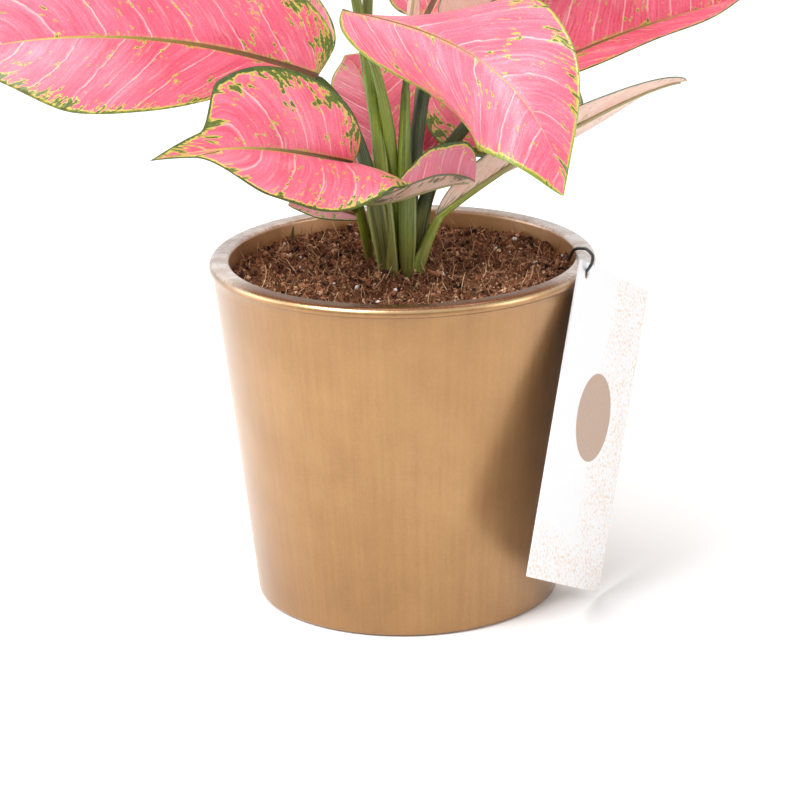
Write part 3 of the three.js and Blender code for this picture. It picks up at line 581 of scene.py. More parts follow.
def leaf_fields(m):
    """What the leaf materials share: the place on the blade, the distances from its margin, midrib and
    side veins, and the flow, a place counted across and along its meandering veins."""
    out = m.attribute("out")
    seed = m.attribute("seed")
    gap = m.attribute("gap")
    flat = m.vector(m.attribute("along"), out, seed)
    meander = m.noise(flat, 0.07) - 0.5
    jitter = m.noise(flat, 0.5) - 0.5
    turns = m.attribute("turns") + meander * 0.35 + jitter * 0.035
    rib = m.math("ABSOLUTE", out)
    flow = m.vector(turns * gap, rib, seed + m.math("SIGN", out) * 3.7)

    def away(times, shift):
        nearest = m.math("ABSOLUTE", m.math("FRACT", turns * times + shift) - 0.5)
        return nearest * gap * (1 / times)
    return SimpleNamespace(flat=flat, flow=flow, main=away(1.0, 0.5), second=away(2.0, 0.5),
                           fine=away(7.0, 0.2), edge=m.attribute("edge"), share=m.attribute("share"), rib=rib)


def green_field(m, f):
    """How green the leaf is: low where it is pink, and highest in the dark hearts of its spots."""
    islands = m.noise(m.scaled(f.flow, (0.52, 0.36, 1)), 1.0, 3.0, 0.6)
    spread = (m.noise(f.flat, 0.12) - 0.5) * 0.55
    by_margin = m.step(f.edge, 9.0, 0.6) * m.attribute("green") * 0.2
    by_vein = m.step(f.main, 1.7, 0.2) * 0.07
    by_rib = m.step(f.rib, 2.8, 0.7) * m.step(f.share, 0.8, 0.2) * 0.1
    return islands + spread + by_margin + by_vein + by_rib + m.attribute("spots") - 0.015


def leaf_upper():
    m = Shader("leaf_upper")
    f = leaf_fields(m)
    streaks = m.noise(m.scaled(f.flow, (0.8, 0.07, 1)), 1.0, 4.0, 0.62)
    bands = m.noise(m.scaled(f.flow, (0.22, 0.045, 1)), 1.0, 3.0, 0.55)
    grain = m.noise(f.flat, 1.5, 4.0, 0.7)
    streaky = m.step(streaks, 0.42, 0.62)
    depth = (m.noise(f.flat, 0.05) * 0.5 + streaks * 0.8 + bands * 0.6 + grain * 0.75
             + m.attribute("pink") * 0.6 - 1.1)
    skin = m.ramp(depth, ((0.05, "#EEADB6"), (0.33, "#E78799"), (0.58, "#DE657C"), (0.92, "#C63C57")))
    skin = m.mix(m.step(bands, 0.54, 0.7) * streaky * 0.42, skin, "#F1C2C8")
    skin = m.mix(m.step(f.fine, 0.3, 0.08) * streaky * 0.15, skin, "#F3B4BC")
    # The side veins and those between them come and go, and end before the margin.
    fading = m.step(m.noise(f.flat, 0.14), 0.32, 0.58)
    inside = m.step(f.edge, 0.4, 5.0)
    skin = m.mix(m.step(f.second, 0.42, 0.1) * fading * inside * 0.2, skin, "#F0B5BA")
    skin = m.mix(m.step(f.main, 0.5, 0.14) * (fading * 0.65 + 0.15) * inside * 0.7, skin, "#F4C6C4")
    # The pink dulled to purple in bands: partly the leaf's own dusky tint and partly painted shade.
    skin = m.mix(m.attribute("dusk_shade") * m.step(bands, 0.3, 0.55, 1.0, 0.5), skin, "#A57583")
    # Lime spots with dark hearts, and the green band at the margin with its ragged lime edge.
    green = green_field(m, f)
    wide = m.noise(m.scaled(f.flat, (0.16, 0, 1)), 1.0, 3.0, 0.6) - 0.5
    ragged = (m.noise(f.flat, 0.9, 3.0, 0.6) - 0.5) * 1.1
    to_band = f.edge - m.attribute("band") * (wide * 3.2 + 1.0) + ragged
    lime = m.math("MAXIMUM", m.step(green, 0.655, 0.69), m.step(to_band, 0.75, 0.35))
    skin = m.mix(lime * 0.9, skin, m.ramp(grain, ((0.3, "#A9A93A"), (0.7, "#C9C353"))))
    margin = m.math("MAXIMUM", m.step(to_band, 0.15, -0.15), m.step(f.edge, 0.45, 0.2))
    hue = m.step(m.attribute("dark") + wide * 1.4 + (grain - 0.5) * 0.8, 0.25, 0.7)
    skin = m.mix(margin, skin, m.mix(hue, "#7E8C2C", "#3E5328"))
    hearts = m.step(green, 0.715, 0.755)
    skin = m.mix(hearts * 0.95, skin, m.ramp(grain, ((0.3, "#3A4C1C"), (0.7, "#5C7028"))))
    # The midrib is broad and dark at the joint and thin and pale at the tip, with a green fringe.
    rib_width = (m.math("POWER", 1.0 - f.share, 1.2) * 1.15 + 0.12) * m.attribute("rib")
    to_rib = f.rib - rib_width
    rib = m.ramp(f.share + (streaks - 0.5) * 0.3,
                 ((0.0, "#5A3A28"), (0.3, "#6E5028"), (0.48, "#80742C"), (0.72, "#B5AC40"), (0.9, "#E59A8A")))
    fringe = m.step(to_rib, 1.3, 0.1) * m.step(f.share, 0.7, 0.3) * m.step(streaks, 0.42, 0.58)
    skin = m.mix(fringe * 0.7, skin, "#B9AC46")
    skin = m.mix(m.step(to_rib, 0.18, -0.12) * m.step(f.share, 0.96, 0.8) * 0.95, skin, rib)
    relief = (m.step(f.main, 1.2, 0.0) * 0.7 + m.step(f.second, 0.8, 0.0) * 0.3
              + m.step(f.fine, 0.4, 0.0) * 0.14 + m.noise(f.flat, 1.6, 4.0, 0.65) * 0.55)
    return m.surface(base_color=skin, roughness=m.step(grain, 0.3, 0.7, 0.26, 0.4),
                     normal=m.bump(relief, 0.00016, 0.7), **LEAF_FLESH)


def leaf_under():
    m = Shader("leaf_under")
    f = leaf_fields(m)
    grain = m.noise(f.flat, 1.5, 4.0, 0.7)
    depth = m.noise(f.flat, 0.22, 4.0, 0.62) * 0.6 + m.noise(f.flat, 0.05) * 0.5 + grain * 0.35 - 0.3
    skin = m.ramp(depth, ((0.15, "#E8D2C2"), (0.5, "#DDB5A4"), (0.85, "#CB9186")))
    skin = m.mix(m.step(f.main, 0.7, 0.2) * 0.4, skin, "#EADACB")
    green = green_field(m, f)
    skin = m.mix(m.step(green, 0.64, 0.69) * 0.5, skin, "#A79F78")
    skin = m.mix(m.step(green, 0.7, 0.75) * 0.75, skin, "#55594A")
    band = f.edge - m.attribute("band") * 0.7 + (grain - 0.5) * 0.8
    skin = m.mix(m.step(band, 0.4, 0.0) * 0.85, skin, "#6C7A66")
    relief = m.step(f.main, 0.9, 0.0) + m.noise(f.flat, 1.6, 4.0) * 0.6
    return m.surface(base_color=skin, roughness=0.45, normal=m.bump(relief, 0.00018, 0.7), **LEAF_FLESH)


def stalk_skin():
    m = Shader("stalk_skin")
    along = m.attribute("along")
    turn = m.attribute("round")
    seed = m.attribute("seed")

    def streaks(length, width, detail=3.0, roughness=0.6):
        return m.noise(m.vector(along * length, turn * width, seed), 1.0, detail, roughness)
    lengthways = streaks(0.015, 5.0, 4.0, 0.65)
    blotches = streaks(0.1, 1.5)
    grain = streaks(0.9, 8.0)
    depth = m.attribute("tone") * 0.6 + lengthways * 0.95 + blotches * 0.45 + grain * 0.2 - 0.73
    skin = m.ramp(depth, ((0.05, "#222B0E"), (0.3, "#475718"), (0.6, "#7B8A26"), (0.95, "#B9BE5C")))
    inner = m.step(turn, 1.25, 0.75) * m.attribute("sheathed") * 0.5
    skin = m.mix(inner * m.step(lengthways, 0.35, 0.55), skin, "#9C9C48")
    skin = m.mix(m.step(m.attribute("wing"), 0.25, 0.8) * 0.5, skin, "#BDBD74")
    skin = m.mix(m.step(along, 24.0, 7.0) * m.step(blotches, 0.4, 0.58) * 0.75, skin, "#7C6A42")
    skin = m.mix(m.step(along, 18.0, 6.0) * m.step(grain, 0.54, 0.6) * 0.85, skin, "#3E2A1C")
    skin = m.mix(m.step(m.attribute("keel"), 0.02, 0.4), skin, m.mix(grain, "#8E9457", "#B59A7C"))
    return m.surface(base_color=skin, roughness=m.step(lengthways, 0.3, 0.7, 0.28, 0.42),
                     normal=m.bump(streaks(0.05, 14.0), 0.0003, 0.6), subsurface_weight=0.08,
                     subsurface_radius=(0.002, 0.003, 0.001), subsurface_scale=0.5)


def gold_paint():
    m = Shader("gold_paint")
    at = m.place()
    height = m.attribute("height")
    lip = m.attribute("edge")
    back = m.attribute("back")
    hollow = m.attribute("inside")
    streaks = m.noise(m.vector(m.attribute("turn") * 90.0, height * 0.02, 0.0), 1.0, 4.0, 0.6)
    patches = m.noise(at, 60.0, 4.0, 0.6)
    grain = m.noise(at, 900.0, 2.0, 0.6)
    depth = (streaks * 0.34 + m.noise(at, 20.0, 3.0) * 0.35 + patches * 0.3 + grain * 0.2
             - m.step(height, 110.0, 0.0) * 0.1 - m.step(height, 60.0, 124.0) * 0.16)
    paint = m.ramp(depth, ((0.2, "#855C2F"), (0.5, "#9E7340"), (0.8, "#B28853")))
    # The lip is painted pale at the sides as a patchy painted reflection, is brown on top in front with a
    # painted highlight along its crest, and is specked at the back.
    front = m.step(back, -0.35, -0.75)
    on_top = m.step(lip, 0.7, 0.95)
    patchy = m.step(m.noise(at, 160.0, 3.0), 0.3, 0.65, 0.5, 1.0)
    # Painted reflection: a pale wash on the lip, weaker in front and at the back.
    painted_reflection = 0.95 - front * 0.85 - m.step(back, 0.45, 0.9) * 0.55
    paint = m.mix(lip * patchy * painted_reflection, paint, "#F6EFEA")
    # Painted highlight along the crest of the lip in front.
    crest = m.step(lip, 0.1, 0.35) * m.step(lip, 0.9, 0.65) * front
    paint = m.mix(crest * 0.5, paint, "#E6C08A")
    paint = m.mix(on_top * front * 0.8, paint, "#6E4225")
    specks = m.step(m.cells(at, 260.0), 0.2, 0.1) * m.step(m.noise(at, 40.0), 0.5, 0.58)
    paint = m.mix(specks * lip * m.step(back, 0.3, 0.7), paint, "#4A301E")
    paint = m.mix(hollow * 0.55, paint, "#D8A166")
    relief = streaks * 0.35 + grain * 0.5 + patches * 1.2
    return m.surface(
        base_color=paint,
        metallic=0.82 + lip * (front * 0.5 - 0.6) - hollow * 0.3,
        roughness=m.step(streaks, 0.3, 0.7, 0.34, 0.4) + (grain - 0.5) * 0.08 - lip * 0.12,
        coat_weight=1.0 - on_top * front * 0.9,
        coat_roughness=0.36 - lip * 0.2,
        normal=m.bump(relief, 0.00008, 0.6),
    )


def soil_earth():
    m = Shader("soil_earth")
    at = m.place()
    lumps = m.noise(at, 300.0, 5.0, 0.75)
    fine = m.noise(at, 1300.0, 3.0, 0.7)
    earth = m.ramp(lumps * 0.8 + fine * 0.5 - 0.13,
                   ((0.25, "#3A2419"), (0.45, "#6B4630"), (0.65, "#9A6E50"), (0.85, "#C89D7B")))
    return m.surface(base_color=earth, roughness=0.95, normal=m.bump(lumps + fine, 0.0015, 1.0),
                     specular_ior_level=0.2)


def crumb_material(name, stops, scale=700.0, rough=0.9, bump=0.0006):
    """A material for loose bits: each bit's own tone attribute, broken up by a grain."""
    m = Shader(name)
    grain = m.noise(m.place(), scale, 4.0, 0.65)
    tint = m.ramp(m.attribute("tone") * 0.75 + grain * 0.6 - 0.12, stops)
    return m.surface(base_color=tint, roughness=rough, normal=m.bump(grain, bump, 0.7),
                     specular_ior_level=0.3)


def card_print():
    """White paper with peach flecks to its right and foot, and a plain disc, all on its front."""
    m = Shader("card_print")
    across = m.attribute("across")
    down = m.attribute("down")
    front = m.attribute("front")
    flat = m.vector(across, down, 0.0)
    paper = m.ramp(m.noise(flat, 0.9, 3.0), ((0.2, "#D9D8D9"), (0.8, "#DEDEDF")))
    by_side = m.step(across, CARD_WIDTH * 0.46, CARD_WIDTH * 0.66)
    by_foot = m.step(down, CARD_HEIGHT - 24, CARD_HEIGHT - 9)
    dense = m.math("MAXIMUM", by_side, by_foot)
    flecks = m.noise(flat, 0.75, 3.0, 0.6)
    drifts = (m.noise(flat, 0.12) - 0.5) * 0.22
    on_fleck = m.step(flecks + dense * 0.07 + drifts, 0.59, 0.66) * m.step(dense, 0.02, 0.5) * front
    fleck_tint = m.ramp(m.noise(flat, 0.35), ((0.3, "#DFC09F"), (0.7, "#CFA67E")))
    printed = m.mix(on_fleck * 0.62, paper, fleck_tint)
    dx = across - (CARD_WIDTH / 2 + DISC_ACROSS)
    dy = down - (CARD_HEIGHT / 2 - DISC_UP)
    away = m.math("SQRT", dx * dx + dy * dy)
    disc = m.step(away, DISC_RADIUS + 0.15, DISC_RADIUS - 0.15) * front
    printed = m.mix(disc, printed, m.ramp(flecks, ((0.2, "#A68D7B"), (0.8, "#B09785"))))
    return m.surface(base_color=printed, roughness=0.62, normal=m.bump(m.noise(flat, 6.0, 3.0), 0.00003, 0.4))


def wire_coat():
    m = Shader("wire_coat")
    grain = m.noise(m.place(), 900.0, 3.0)
    tint = m.ramp(grain, ((0.3, "#1F2422"), (0.7, "#3A403B")))
    return m.surface(base_color=tint, roughness=0.38, metallic=0.25, normal=m.bump(grain, 0.00005, 0.4))


def floor_white():
    m = Shader("floor_white")
    tint = m.ramp(m.noise(m.place(), 9.0, 3.0), ((0.2, "#F4F3F3"), (0.8, "#F8F8F8")))
    return m.surface(base_color=tint, roughness=0.6, specular_ior_level=0.2)


# ---------------------------------------------------------------- blades

def blade_grid():
    """t and r of the blade's inner rows: rows closer together at both ends, columns at the midrib."""
    rows = np.arange(1, BLADE_ROWS)
    t = (1 - np.cos(math.pi * rows / BLADE_ROWS)) / 2
    columns = np.arange(-BLADE_COLUMNS, BLADE_COLUMNS + 1)
    side = np.where(columns < 0, -1.0, 1.0)
    r = (np.abs(columns) / BLADE_COLUMNS) ** 1.3
    return t, r, side


def grid_normals(points):
    down = np.gradient(points, axis=0)
    across = np.gradient(points, axis=1)
    return unit(np.cross(down, across))


def make_blade(name, leaf, style, materials):
    t, r, side = blade_grid()
    t, r = np.meshgrid(t, r, indexing="ij")
    points = np.where((side > 0)[None, :, None], blade_points(leaf, t, r, 1), blade_points(leaf, t, r, -1))
    widths = np.where(side > 0, leaf["right"]["width"], leaf["left"]["width"])
    outline = np.where(side > 0, outline_width(t, leaf["right"]["shape"]),
                       outline_width(t, leaf["left"]["shape"]))
    out = outline * r * widths
    edge = outline * (1 - r) * widths
    turns = vein_turns(t, r, style["veins"], style["seed"]) + np.where(side > 0, 0.0, LEFT_VEINS_LEAD)
    swell = np.abs(np.sin(math.pi * turns)) ** 0.7 - 0.6
    relief = QUILT * swell * smoothstep(out, 0.5, 6) * smoothstep(edge, 0.2, 5)
    rib_half = 1.5 * (1 - t) + 0.3
    relief = relief - RIB_GROOVE * (1 - t) ** 0.7 * np.exp(-((out / rib_half) ** 2)) * smoothstep(t, 0, 0.05)
    normals = grid_normals(points)
    if dot(normals[BLADE_ROWS // 2, BLADE_COLUMNS], blade_frame(leaf, np.array([0.5]))[2][0])[0] < 0:
        normals = -normals
    middle = points + normals * relief[..., None]
    thick = (MARGIN_THICKNESS + (BLADE_THICKNESS - MARGIN_THICKNESS) * smoothstep(edge, 0, 2.0))[..., None]
    ends = bezier(leaf["midrib"], np.array([0.0, 1.0]))
    end_ups = blade_frame(leaf, np.array([0.0, 1.0]))[2]
    half_end = MARGIN_THICKNESS / 2
    upper = np.concatenate([(middle + normals * thick / 2).reshape(-1, 3), ends + end_ups * half_end])
    lower = np.concatenate([(middle - normals * thick / 2).reshape(-1, 3), ends - end_ups * half_end])
    faces, sides = blade_faces(*t.shape)
    fields = {
        "along": (t * leaf["length"], [0, leaf["length"]]),
        "out": (out * side[None, :], [0, 0]),
        "edge": (edge, [0, 0]),
        "share": (t, [0, 1]),
        "turns": (turns, [FIRST_VEIN, style["veins"] + FIRST_VEIN]),
        "band": (np.where(side > 0, style["band"][1], style["band"][0]) * outline**0.5, [0.2, 0.2]),
        "spots": (spot_field(t, r * side[None, :], style["spots"]), [0, 0]),
    }
    points = np.concatenate([upper, lower])
    attributes = [(key, np.tile(np.concatenate([inner.ravel(), outer]), 2))
                  for key, (inner, outer) in fields.items()]
    same_all_over = dict(gap=leaf["length"] / style["veins"], seed=7.3 * style["seed"])
    same_all_over.update((key, style[key]) for key in ("pink", "green", "dark", "rib", "dusk_shade"))
    attributes += [(key, np.full(len(points), value)) for key, value in same_all_over.items()]
    obj = mesh_object(f"{name}_skin", points, faces, True, attributes, sides)
    return dress(obj, "blade", materials, f"{name}_blade")


def blade_faces(rows, columns):
    """Faces of the upper and the lower side and of the wall round the margin, and their material: 0 for
    the upper side and the wall, 1 for the lower side. Each side's points are its grid, then joint and tip."""
    top = [tuple(face[::-1]) for face in grid_faces(rows, columns)]
    joint, tip = rows * columns, rows * columns + 1
    last = joint - columns
    for j in range(columns - 1):
        top.append((joint, j, j + 1)[::-1])
        top.append((tip, last + j + 1, last + j)[::-1])
    shift = tip + 1
    under = [tuple(i + shift for i in face[::-1]) for face in top]
    left = [i * columns for i in range(rows)]
    right = [i * columns + columns - 1 for i in range(rows)]
    loop = [joint, *left, tip, *right[::-1]]
    walls = [(a, a + shift, b + shift, b) for a, b in zip(loop, loop[1:] + loop[:1])]
    return top + under + walls, [0] * len(top) + [1] * len(under) + [0] * len(walls)


def spot_field(share, out, spots):
    """The sum of soft round patches, each (share, out, size, amount)."""
    total = np.zeros_like(share)
    for at_share, at_out, size, amount in spots:
        away = ((share - at_share) / size) ** 2 + ((out - at_out) / (2.2 * size)) ** 2
        total = total + amount * np.exp(-away)
    return total


# ---------------------------------------------------------------- stalks

STALK_SIDES = 28
STALK_RINGS = 46
KEEL_RINGS = 60
KEEL_REACH = 0.95                  # the share of the midrib that the keel runs along
STALK_FULLNESS = 1.08              # of the stalk's radius
STALK_SWELL = 0.3                  # how much wider a stalk is in its lower half
WING_ANGLE = math.radians(64)      # the sheath's edges stand so far from its hollow side
WING_SPREAD = math.radians(13)
CHANNEL_SPREAD = math.radians(42)


def carried_up(path, last_up):
    """Ways along a path and up vectors that turn no more than they must, from the far end's up vector."""
    along = unit(np.gradient(path, axis=0))
    ups = np.empty_like(path)
    up = last_up
    for i in range(len(path) - 1, -1, -1):
        up = unit(up - along[i] * (up @ along[i]))
        ups[i] = up
    return along, ups


def stalk_path(leaf):
    """Centre line and radius of a stalk and of the midrib that it becomes under the blade."""
    keel = min(KEEL_START, leaf["radius"][2])
    s = np.linspace(0, KEEL_REACH, KEEL_RINGS)
    across = keel + (KEEL_END - keel) * s / KEEL_REACH
    droop = np.maximum(0, np.maximum(-between(leaf["left"]["fold"], s), -between(leaf["right"]["fold"], s)))
    depth = (across + 0.1) / np.cos(np.radians(np.minimum(droop, 60)))
    at, _, up, _ = blade_frame(leaf, s)
    under = at - up * depth[:, None]
    t = np.arange(STALK_RINGS) / STALK_RINGS
    lower = bezier([*leaf["stalk"], tuple(under[0])], t)
    radii = between(leaf["radius"], t) * STALK_FULLNESS
    return np.concatenate([lower, under]), np.concatenate([radii, across])


def make_stalk(name, leaf, style, material):
    path, radii = stalk_path(leaf)
    along, ups = carried_up(path, blade_frame(leaf, np.array([1.0]))[2][0])
    travelled = np.concatenate([[0], np.cumsum(np.linalg.norm(np.diff(path, axis=0), axis=1))])
    stalk_length = travelled[STALK_RINGS]
    # The hollow side of a stalk's foot looks to the crown, and the stalk twists to its blade from there.
    to_crown = np.array([CROWN_X, CROWN_Y, 0]) - path[0] * [1, 1, 0]
    to_crown = unit(to_crown - along[0] * (to_crown @ along[0]))
    twist = math.atan2(np.cross(ups[0], to_crown) @ along[0], ups[0] @ to_crown)
    turned_by = (twist * (1 - smoothstep(travelled, 0.25 * stalk_length, 0.95 * stalk_length)))[:, None]
    side = np.cross(along, ups)
    ups, side = (ups * np.cos(turned_by) - side * np.sin(turned_by),
                 side * np.cos(turned_by) + ups * np.sin(turned_by))
    angle = round_angles(STALK_SIDES)
    sheath_length = style["sheath"] * stalk_length
    sheathed = 1 - smoothstep(travelled, 0.7 * sheath_length, sheath_length + 0.01)
    from_up = np.abs((angle + math.pi) % (2 * math.pi) - math.pi)
    wing = np.exp(-(((from_up - WING_ANGLE) / WING_SPREAD) ** 2))
    channel = np.exp(-((from_up / CHANNEL_SPREAD) ** 2))
    on_stalk = 1 - smoothstep(travelled, stalk_length - 6, stalk_length)
    share = travelled / stalk_length
    swell = 1 + STALK_SWELL * smoothstep(share, 0.03, 0.3) * (1 - smoothstep(share, 0.45, 1))
    shape = (1 + 0.5 * wing[None, :] * sheathed[:, None] * on_stalk[:, None]
             - (0.1 + 0.3 * sheathed[:, None]) * channel[None, :] * on_stalk[:, None])
    points = rings_along(path, ups, side, angle, (radii * swell)[:, None] * shape)
    keel = np.maximum(0, travelled - stalk_length) / leaf["length"]
    ones = np.ones((len(path), STALK_SIDES))
    fields = (("along", travelled[:, None]), ("round", from_up), ("wing", sheathed[:, None] * wing),
              ("sheathed", sheathed[:, None]), ("keel", keel[:, None]), ("tone", style["stalk"]),
              ("seed", 3.1 * style["seed"]))
    attributes = [(key, (value * ones).ravel()) for key, value in fields]
    obj = mesh_object(f"{name}_petiole", points, tube_faces(len(path), STALK_SIDES), True, attributes)
    return dress(obj, "stalk", [material], f"{name}_stalk")


# ---------------------------------------------------------------- pot

POT_SIDES = 240
LIP_PAINTED = 2.2        # how far down from its top the lip band reaches, with its painted reflection, painted highlight and specks


def arc(cx, cz, radius, start, end, steps):
    angles = np.radians(np.linspace(start, end, steps + 1))
    return [(cx + radius * math.cos(a), cz + radius * math.sin(a)) for a in angles]


def straight(start, end, steps):
    """Points after start up to end."""
    start, end = np.array(start), np.array(end)
    return [tuple(start + (end - start) * k / steps) for k in range(1, steps + 1)]


def pot_profile():
    """Radius and height round the pot's wall, from the middle of its underside to that of its floor."""
    lip_middle = RIM_RADIUS - LIP_ROUNDING
    mouth_middle = MOUTH_RADIUS + MOUTH_ROUNDING
    base = arc(BASE_RADIUS - BASE_ROUNDING, BASE_ROUNDING, BASE_ROUNDING, -90, 0, 8)
    under_lip = (UNDER_LIP_RADIUS, POT_HEIGHT - LIP_HEIGHT)
    lip = arc(lip_middle, POT_HEIGHT - LIP_ROUNDING, LIP_ROUNDING, -20, 90, 16)
    mouth = arc(mouth_middle, POT_HEIGHT - MOUTH_ROUNDING, MOUTH_ROUNDING, 90, 180, 10)
    step = [(UNDER_LIP_RADIUS + 0.08, under_lip[1] + 0.12), (UNDER_LIP_RADIUS + 0.3, under_lip[1] + 0.33),
            (UNDER_LIP_RADIUS + LIP_STEP_OUT, under_lip[1] + LIP_STEP_UP)]
    inside = straight(mouth[-1], (FLOOR_RADIUS + CORNER_OUT, FLOOR_THICKNESS + CORNER_UP), 16)
    floor = straight(inside[-1], (FLOOR_RADIUS - CORNER_UP, FLOOR_THICKNESS), 2)
    return [(0.0, 0.0), *straight((0, 0), base[0], 6)[:-1], *base, *straight(base[-1], under_lip, 40), *step,
            *lip, *mouth, *inside, *floor, *straight(floor[-1], (0, FLOOR_THICKNESS), 4)]


def make_pot(material):
    profile = np.array(pot_profile())
    reach, height = profile[1:-1].T
    angle = round_angles(POT_SIDES)
    # The painted wall isn't quite round: two slow swells of a fifth of a millimetre.
    uneven = 0.12 * np.sin(2 * angle + 0.6) + 0.06 * np.sin(5 * angle)
    share = smoothstep(height, 4, 60) * (1 - smoothstep(height, 90, 118))
    radius = reach[:, None] - (0.18 - uneven[None, :]) * share[:, None]
    rings = np.stack([radius * np.cos(angle), radius * np.sin(angle),
                      np.repeat(height[:, None], POT_SIDES, 1)], axis=-1)
    count = len(reach)
    points = np.concatenate([rings.reshape(-1, 3), [[0, 0, 0], [0, 0, FLOOR_THICKNESS]]])
    under = count * POT_SIDES
    faces = [tuple(f) for f in ring_faces(count, POT_SIDES)]
    faces += fan(under, 0, POT_SIDES)
    faces += [face[::-1] for face in fan(under + 1, under - POT_SIDES, POT_SIDES)]
    on_lip = smoothstep(height, POT_HEIGHT - LIP_PAINTED, POT_HEIGHT) * (reach > MOUTH_RADIUS - 0.1)
    outer_wall = BASE_RADIUS + (UNDER_LIP_RADIUS - BASE_RADIUS) * height / (POT_HEIGHT - LIP_HEIGHT)
    in_hollow = (reach < np.minimum(outer_wall - 2, MOUTH_RADIUS + 0.3)) & (height > FLOOR_THICKNESS - 1)
    # The turn runs up and down again, so that it has no seam at the back.
    turn = np.abs(angle / math.pi - 1)
    ones = np.ones((count, POT_SIDES))
    fields = (("inside", in_hollow[:, None], (0, 1)), ("turn", turn, (0, 0)), ("back", np.sin(angle), (0, 0)),
              ("height", height[:, None], (0, FLOOR_THICKNESS)), ("edge", on_lip[:, None], (0, 0)))
    attributes = [(key, np.concatenate([(value * ones).ravel(), middles])) for key, value, middles in fields]
    obj = mesh_object("pot_painted", points, faces, True, attributes)
    return dress(obj, "pot", [material], "pot")


# ---------------------------------------------------------------- soil

SOIL_RINGS = 130
SOIL_SECTORS = 400
CRUMBS_START = 8.0       # loose bits lie no nearer the middle than this
FIBRES_START = 7.0
FIBRE_RINGS = 8
FIBRE_SIDES = 4


def hollow_radius(z):
    low_r, low_z = FLOOR_RADIUS + CORNER_OUT, FLOOR_THICKNESS + CORNER_UP
    share = (z - low_z) / (POT_HEIGHT - MOUTH_ROUNDING - low_z)
    return low_r + (MOUTH_RADIUS - low_r) * share


def soil_height(x, y):
    """The mix's mean surface: heaped round the plant, with a slow swell and a quicker one."""
    away = np.hypot(x - CROWN_X, y - CROWN_Y)
    slow = 0.7 * np.sin(x * 0.11 + 1.3) * np.cos(y * 0.13)
    quick = 0.5 * np.sin(x * 0.31 - y * 0.27)
    return SOIL_TOP + SOIL_MOUND * np.exp(-((away / MOUND_RADIUS) ** 2)) + slow + quick


def rough_height(x, y):
    """The surface with its clods and pits."""
    clods = noise.fractal(Vector((x * 0.16, y * 0.16, 3.7)), 0.9, 2.1, 5, noise_basis="PERLIN_ORIGINAL")
    pits = noise.noise(Vector((x * 0.55, y * 0.55, 9.1)))
    grit = noise.noise(Vector((x * 1.3, y * 1.3, 5.3)))
    return 1.7 * clods + 1.3 * pits + 0.6 * grit


def make_soil_bed(material):
    radius = hollow_radius(SOIL_TOP) - 0.15
    share = np.linspace(0, 1, SOIL_RINGS + 1)[1:] ** 0.8
    angle = round_angles(SOIL_SECTORS)
    x = (radius * share)[:, None] * np.cos(angle)[None, :]
    y = (radius * share)[:, None] * np.sin(angle)[None, :]
    rough = np.array([rough_height(a, b) for a, b in zip(x.ravel(), y.ravel())]).reshape(x.shape)
    z = soil_height(x, y) + rough
    bottom_z = FLOOR_THICKNESS + CORNER_UP
    bottom_radius = hollow_radius(bottom_z) - 0.3
    skirt = np.stack([bottom_radius * np.cos(angle), bottom_radius * np.sin(angle),
                      np.full(SOIL_SECTORS, bottom_z)], axis=-1)
    top_middle = [[0, 0, soil_height(0, 0) + rough_height(0, 0)]]
    points = np.concatenate([np.stack([x, y, z], axis=-1).reshape(-1, 3), skirt, top_middle,
                             [[0, 0, bottom_z]]])
    middle = (SOIL_RINGS + 1) * SOIL_SECTORS
    faces = [tuple(f)[::-1] for f in ring_faces(SOIL_RINGS + 1, SOIL_SECTORS)]
    faces += [face[::-1] for face in fan(middle, 0, SOIL_SECTORS)]
    faces += fan(middle + 1, middle - SOIL_SECTORS, SOIL_SECTORS)
    return dress(mesh_object("soil_bed", points, faces), "soil", [material], "soil")


def icosphere(subdivisions):
    made = bmesh.new()
    bmesh.ops.create_icosphere(made, subdivisions=subdivisions, radius=1.0)
    points = np.array([v.co[:] for v in made.verts])
    faces = np.array([[v.index for v in f.verts] for f in made.faces])
    made.free()
    return points, faces


def turned(draw, points):
    """points turned at random."""
    w, x, y, z = unit(draw.normal(size=4))
    matrix = np.array([
        [1 - 2 * (y * y + z * z), 2 * (x * y - z * w), 2 * (x * z + y * w)],
        [2 * (x * y + z * w), 1 - 2 * (x * x + z * z), 2 * (y * z - x * w)],
        [2 * (x * z - y * w), 2 * (y * z + x * w), 1 - 2 * (x * x + y * y)],
    ])
    return points @ matrix.T


def surface_at(x, y):
    return float(soil_height(x, y)) + rough_height(x, y)


def random_place(draw, margin, inner):
    limit = hollow_radius(SOIL_TOP) - margin
    radius = math.sqrt(draw.uniform((inner / limit) ** 2, 1)) * limit
    angle = draw.uniform(0, 2 * math.pi)
    return radius * math.cos(angle), radius * math.sin(angle)


def scattered(name, bits, smooth, material):
    """One piece of many bits. Each bit is its points, faces and tone."""
    starts = np.cumsum([0] + [len(points) for points, _, _ in bits])
    faces = np.concatenate([faces + start for (_, faces, _), start in zip(bits, starts)])
    tones = np.concatenate([np.full(len(points), tone) for points, _, tone in bits])
    points = np.concatenate([points for points, _, _ in bits])
    obj = mesh_object(name, points, faces.tolist(), smooth, (("tone", tones),))
    return dress(obj, "soil", [material])


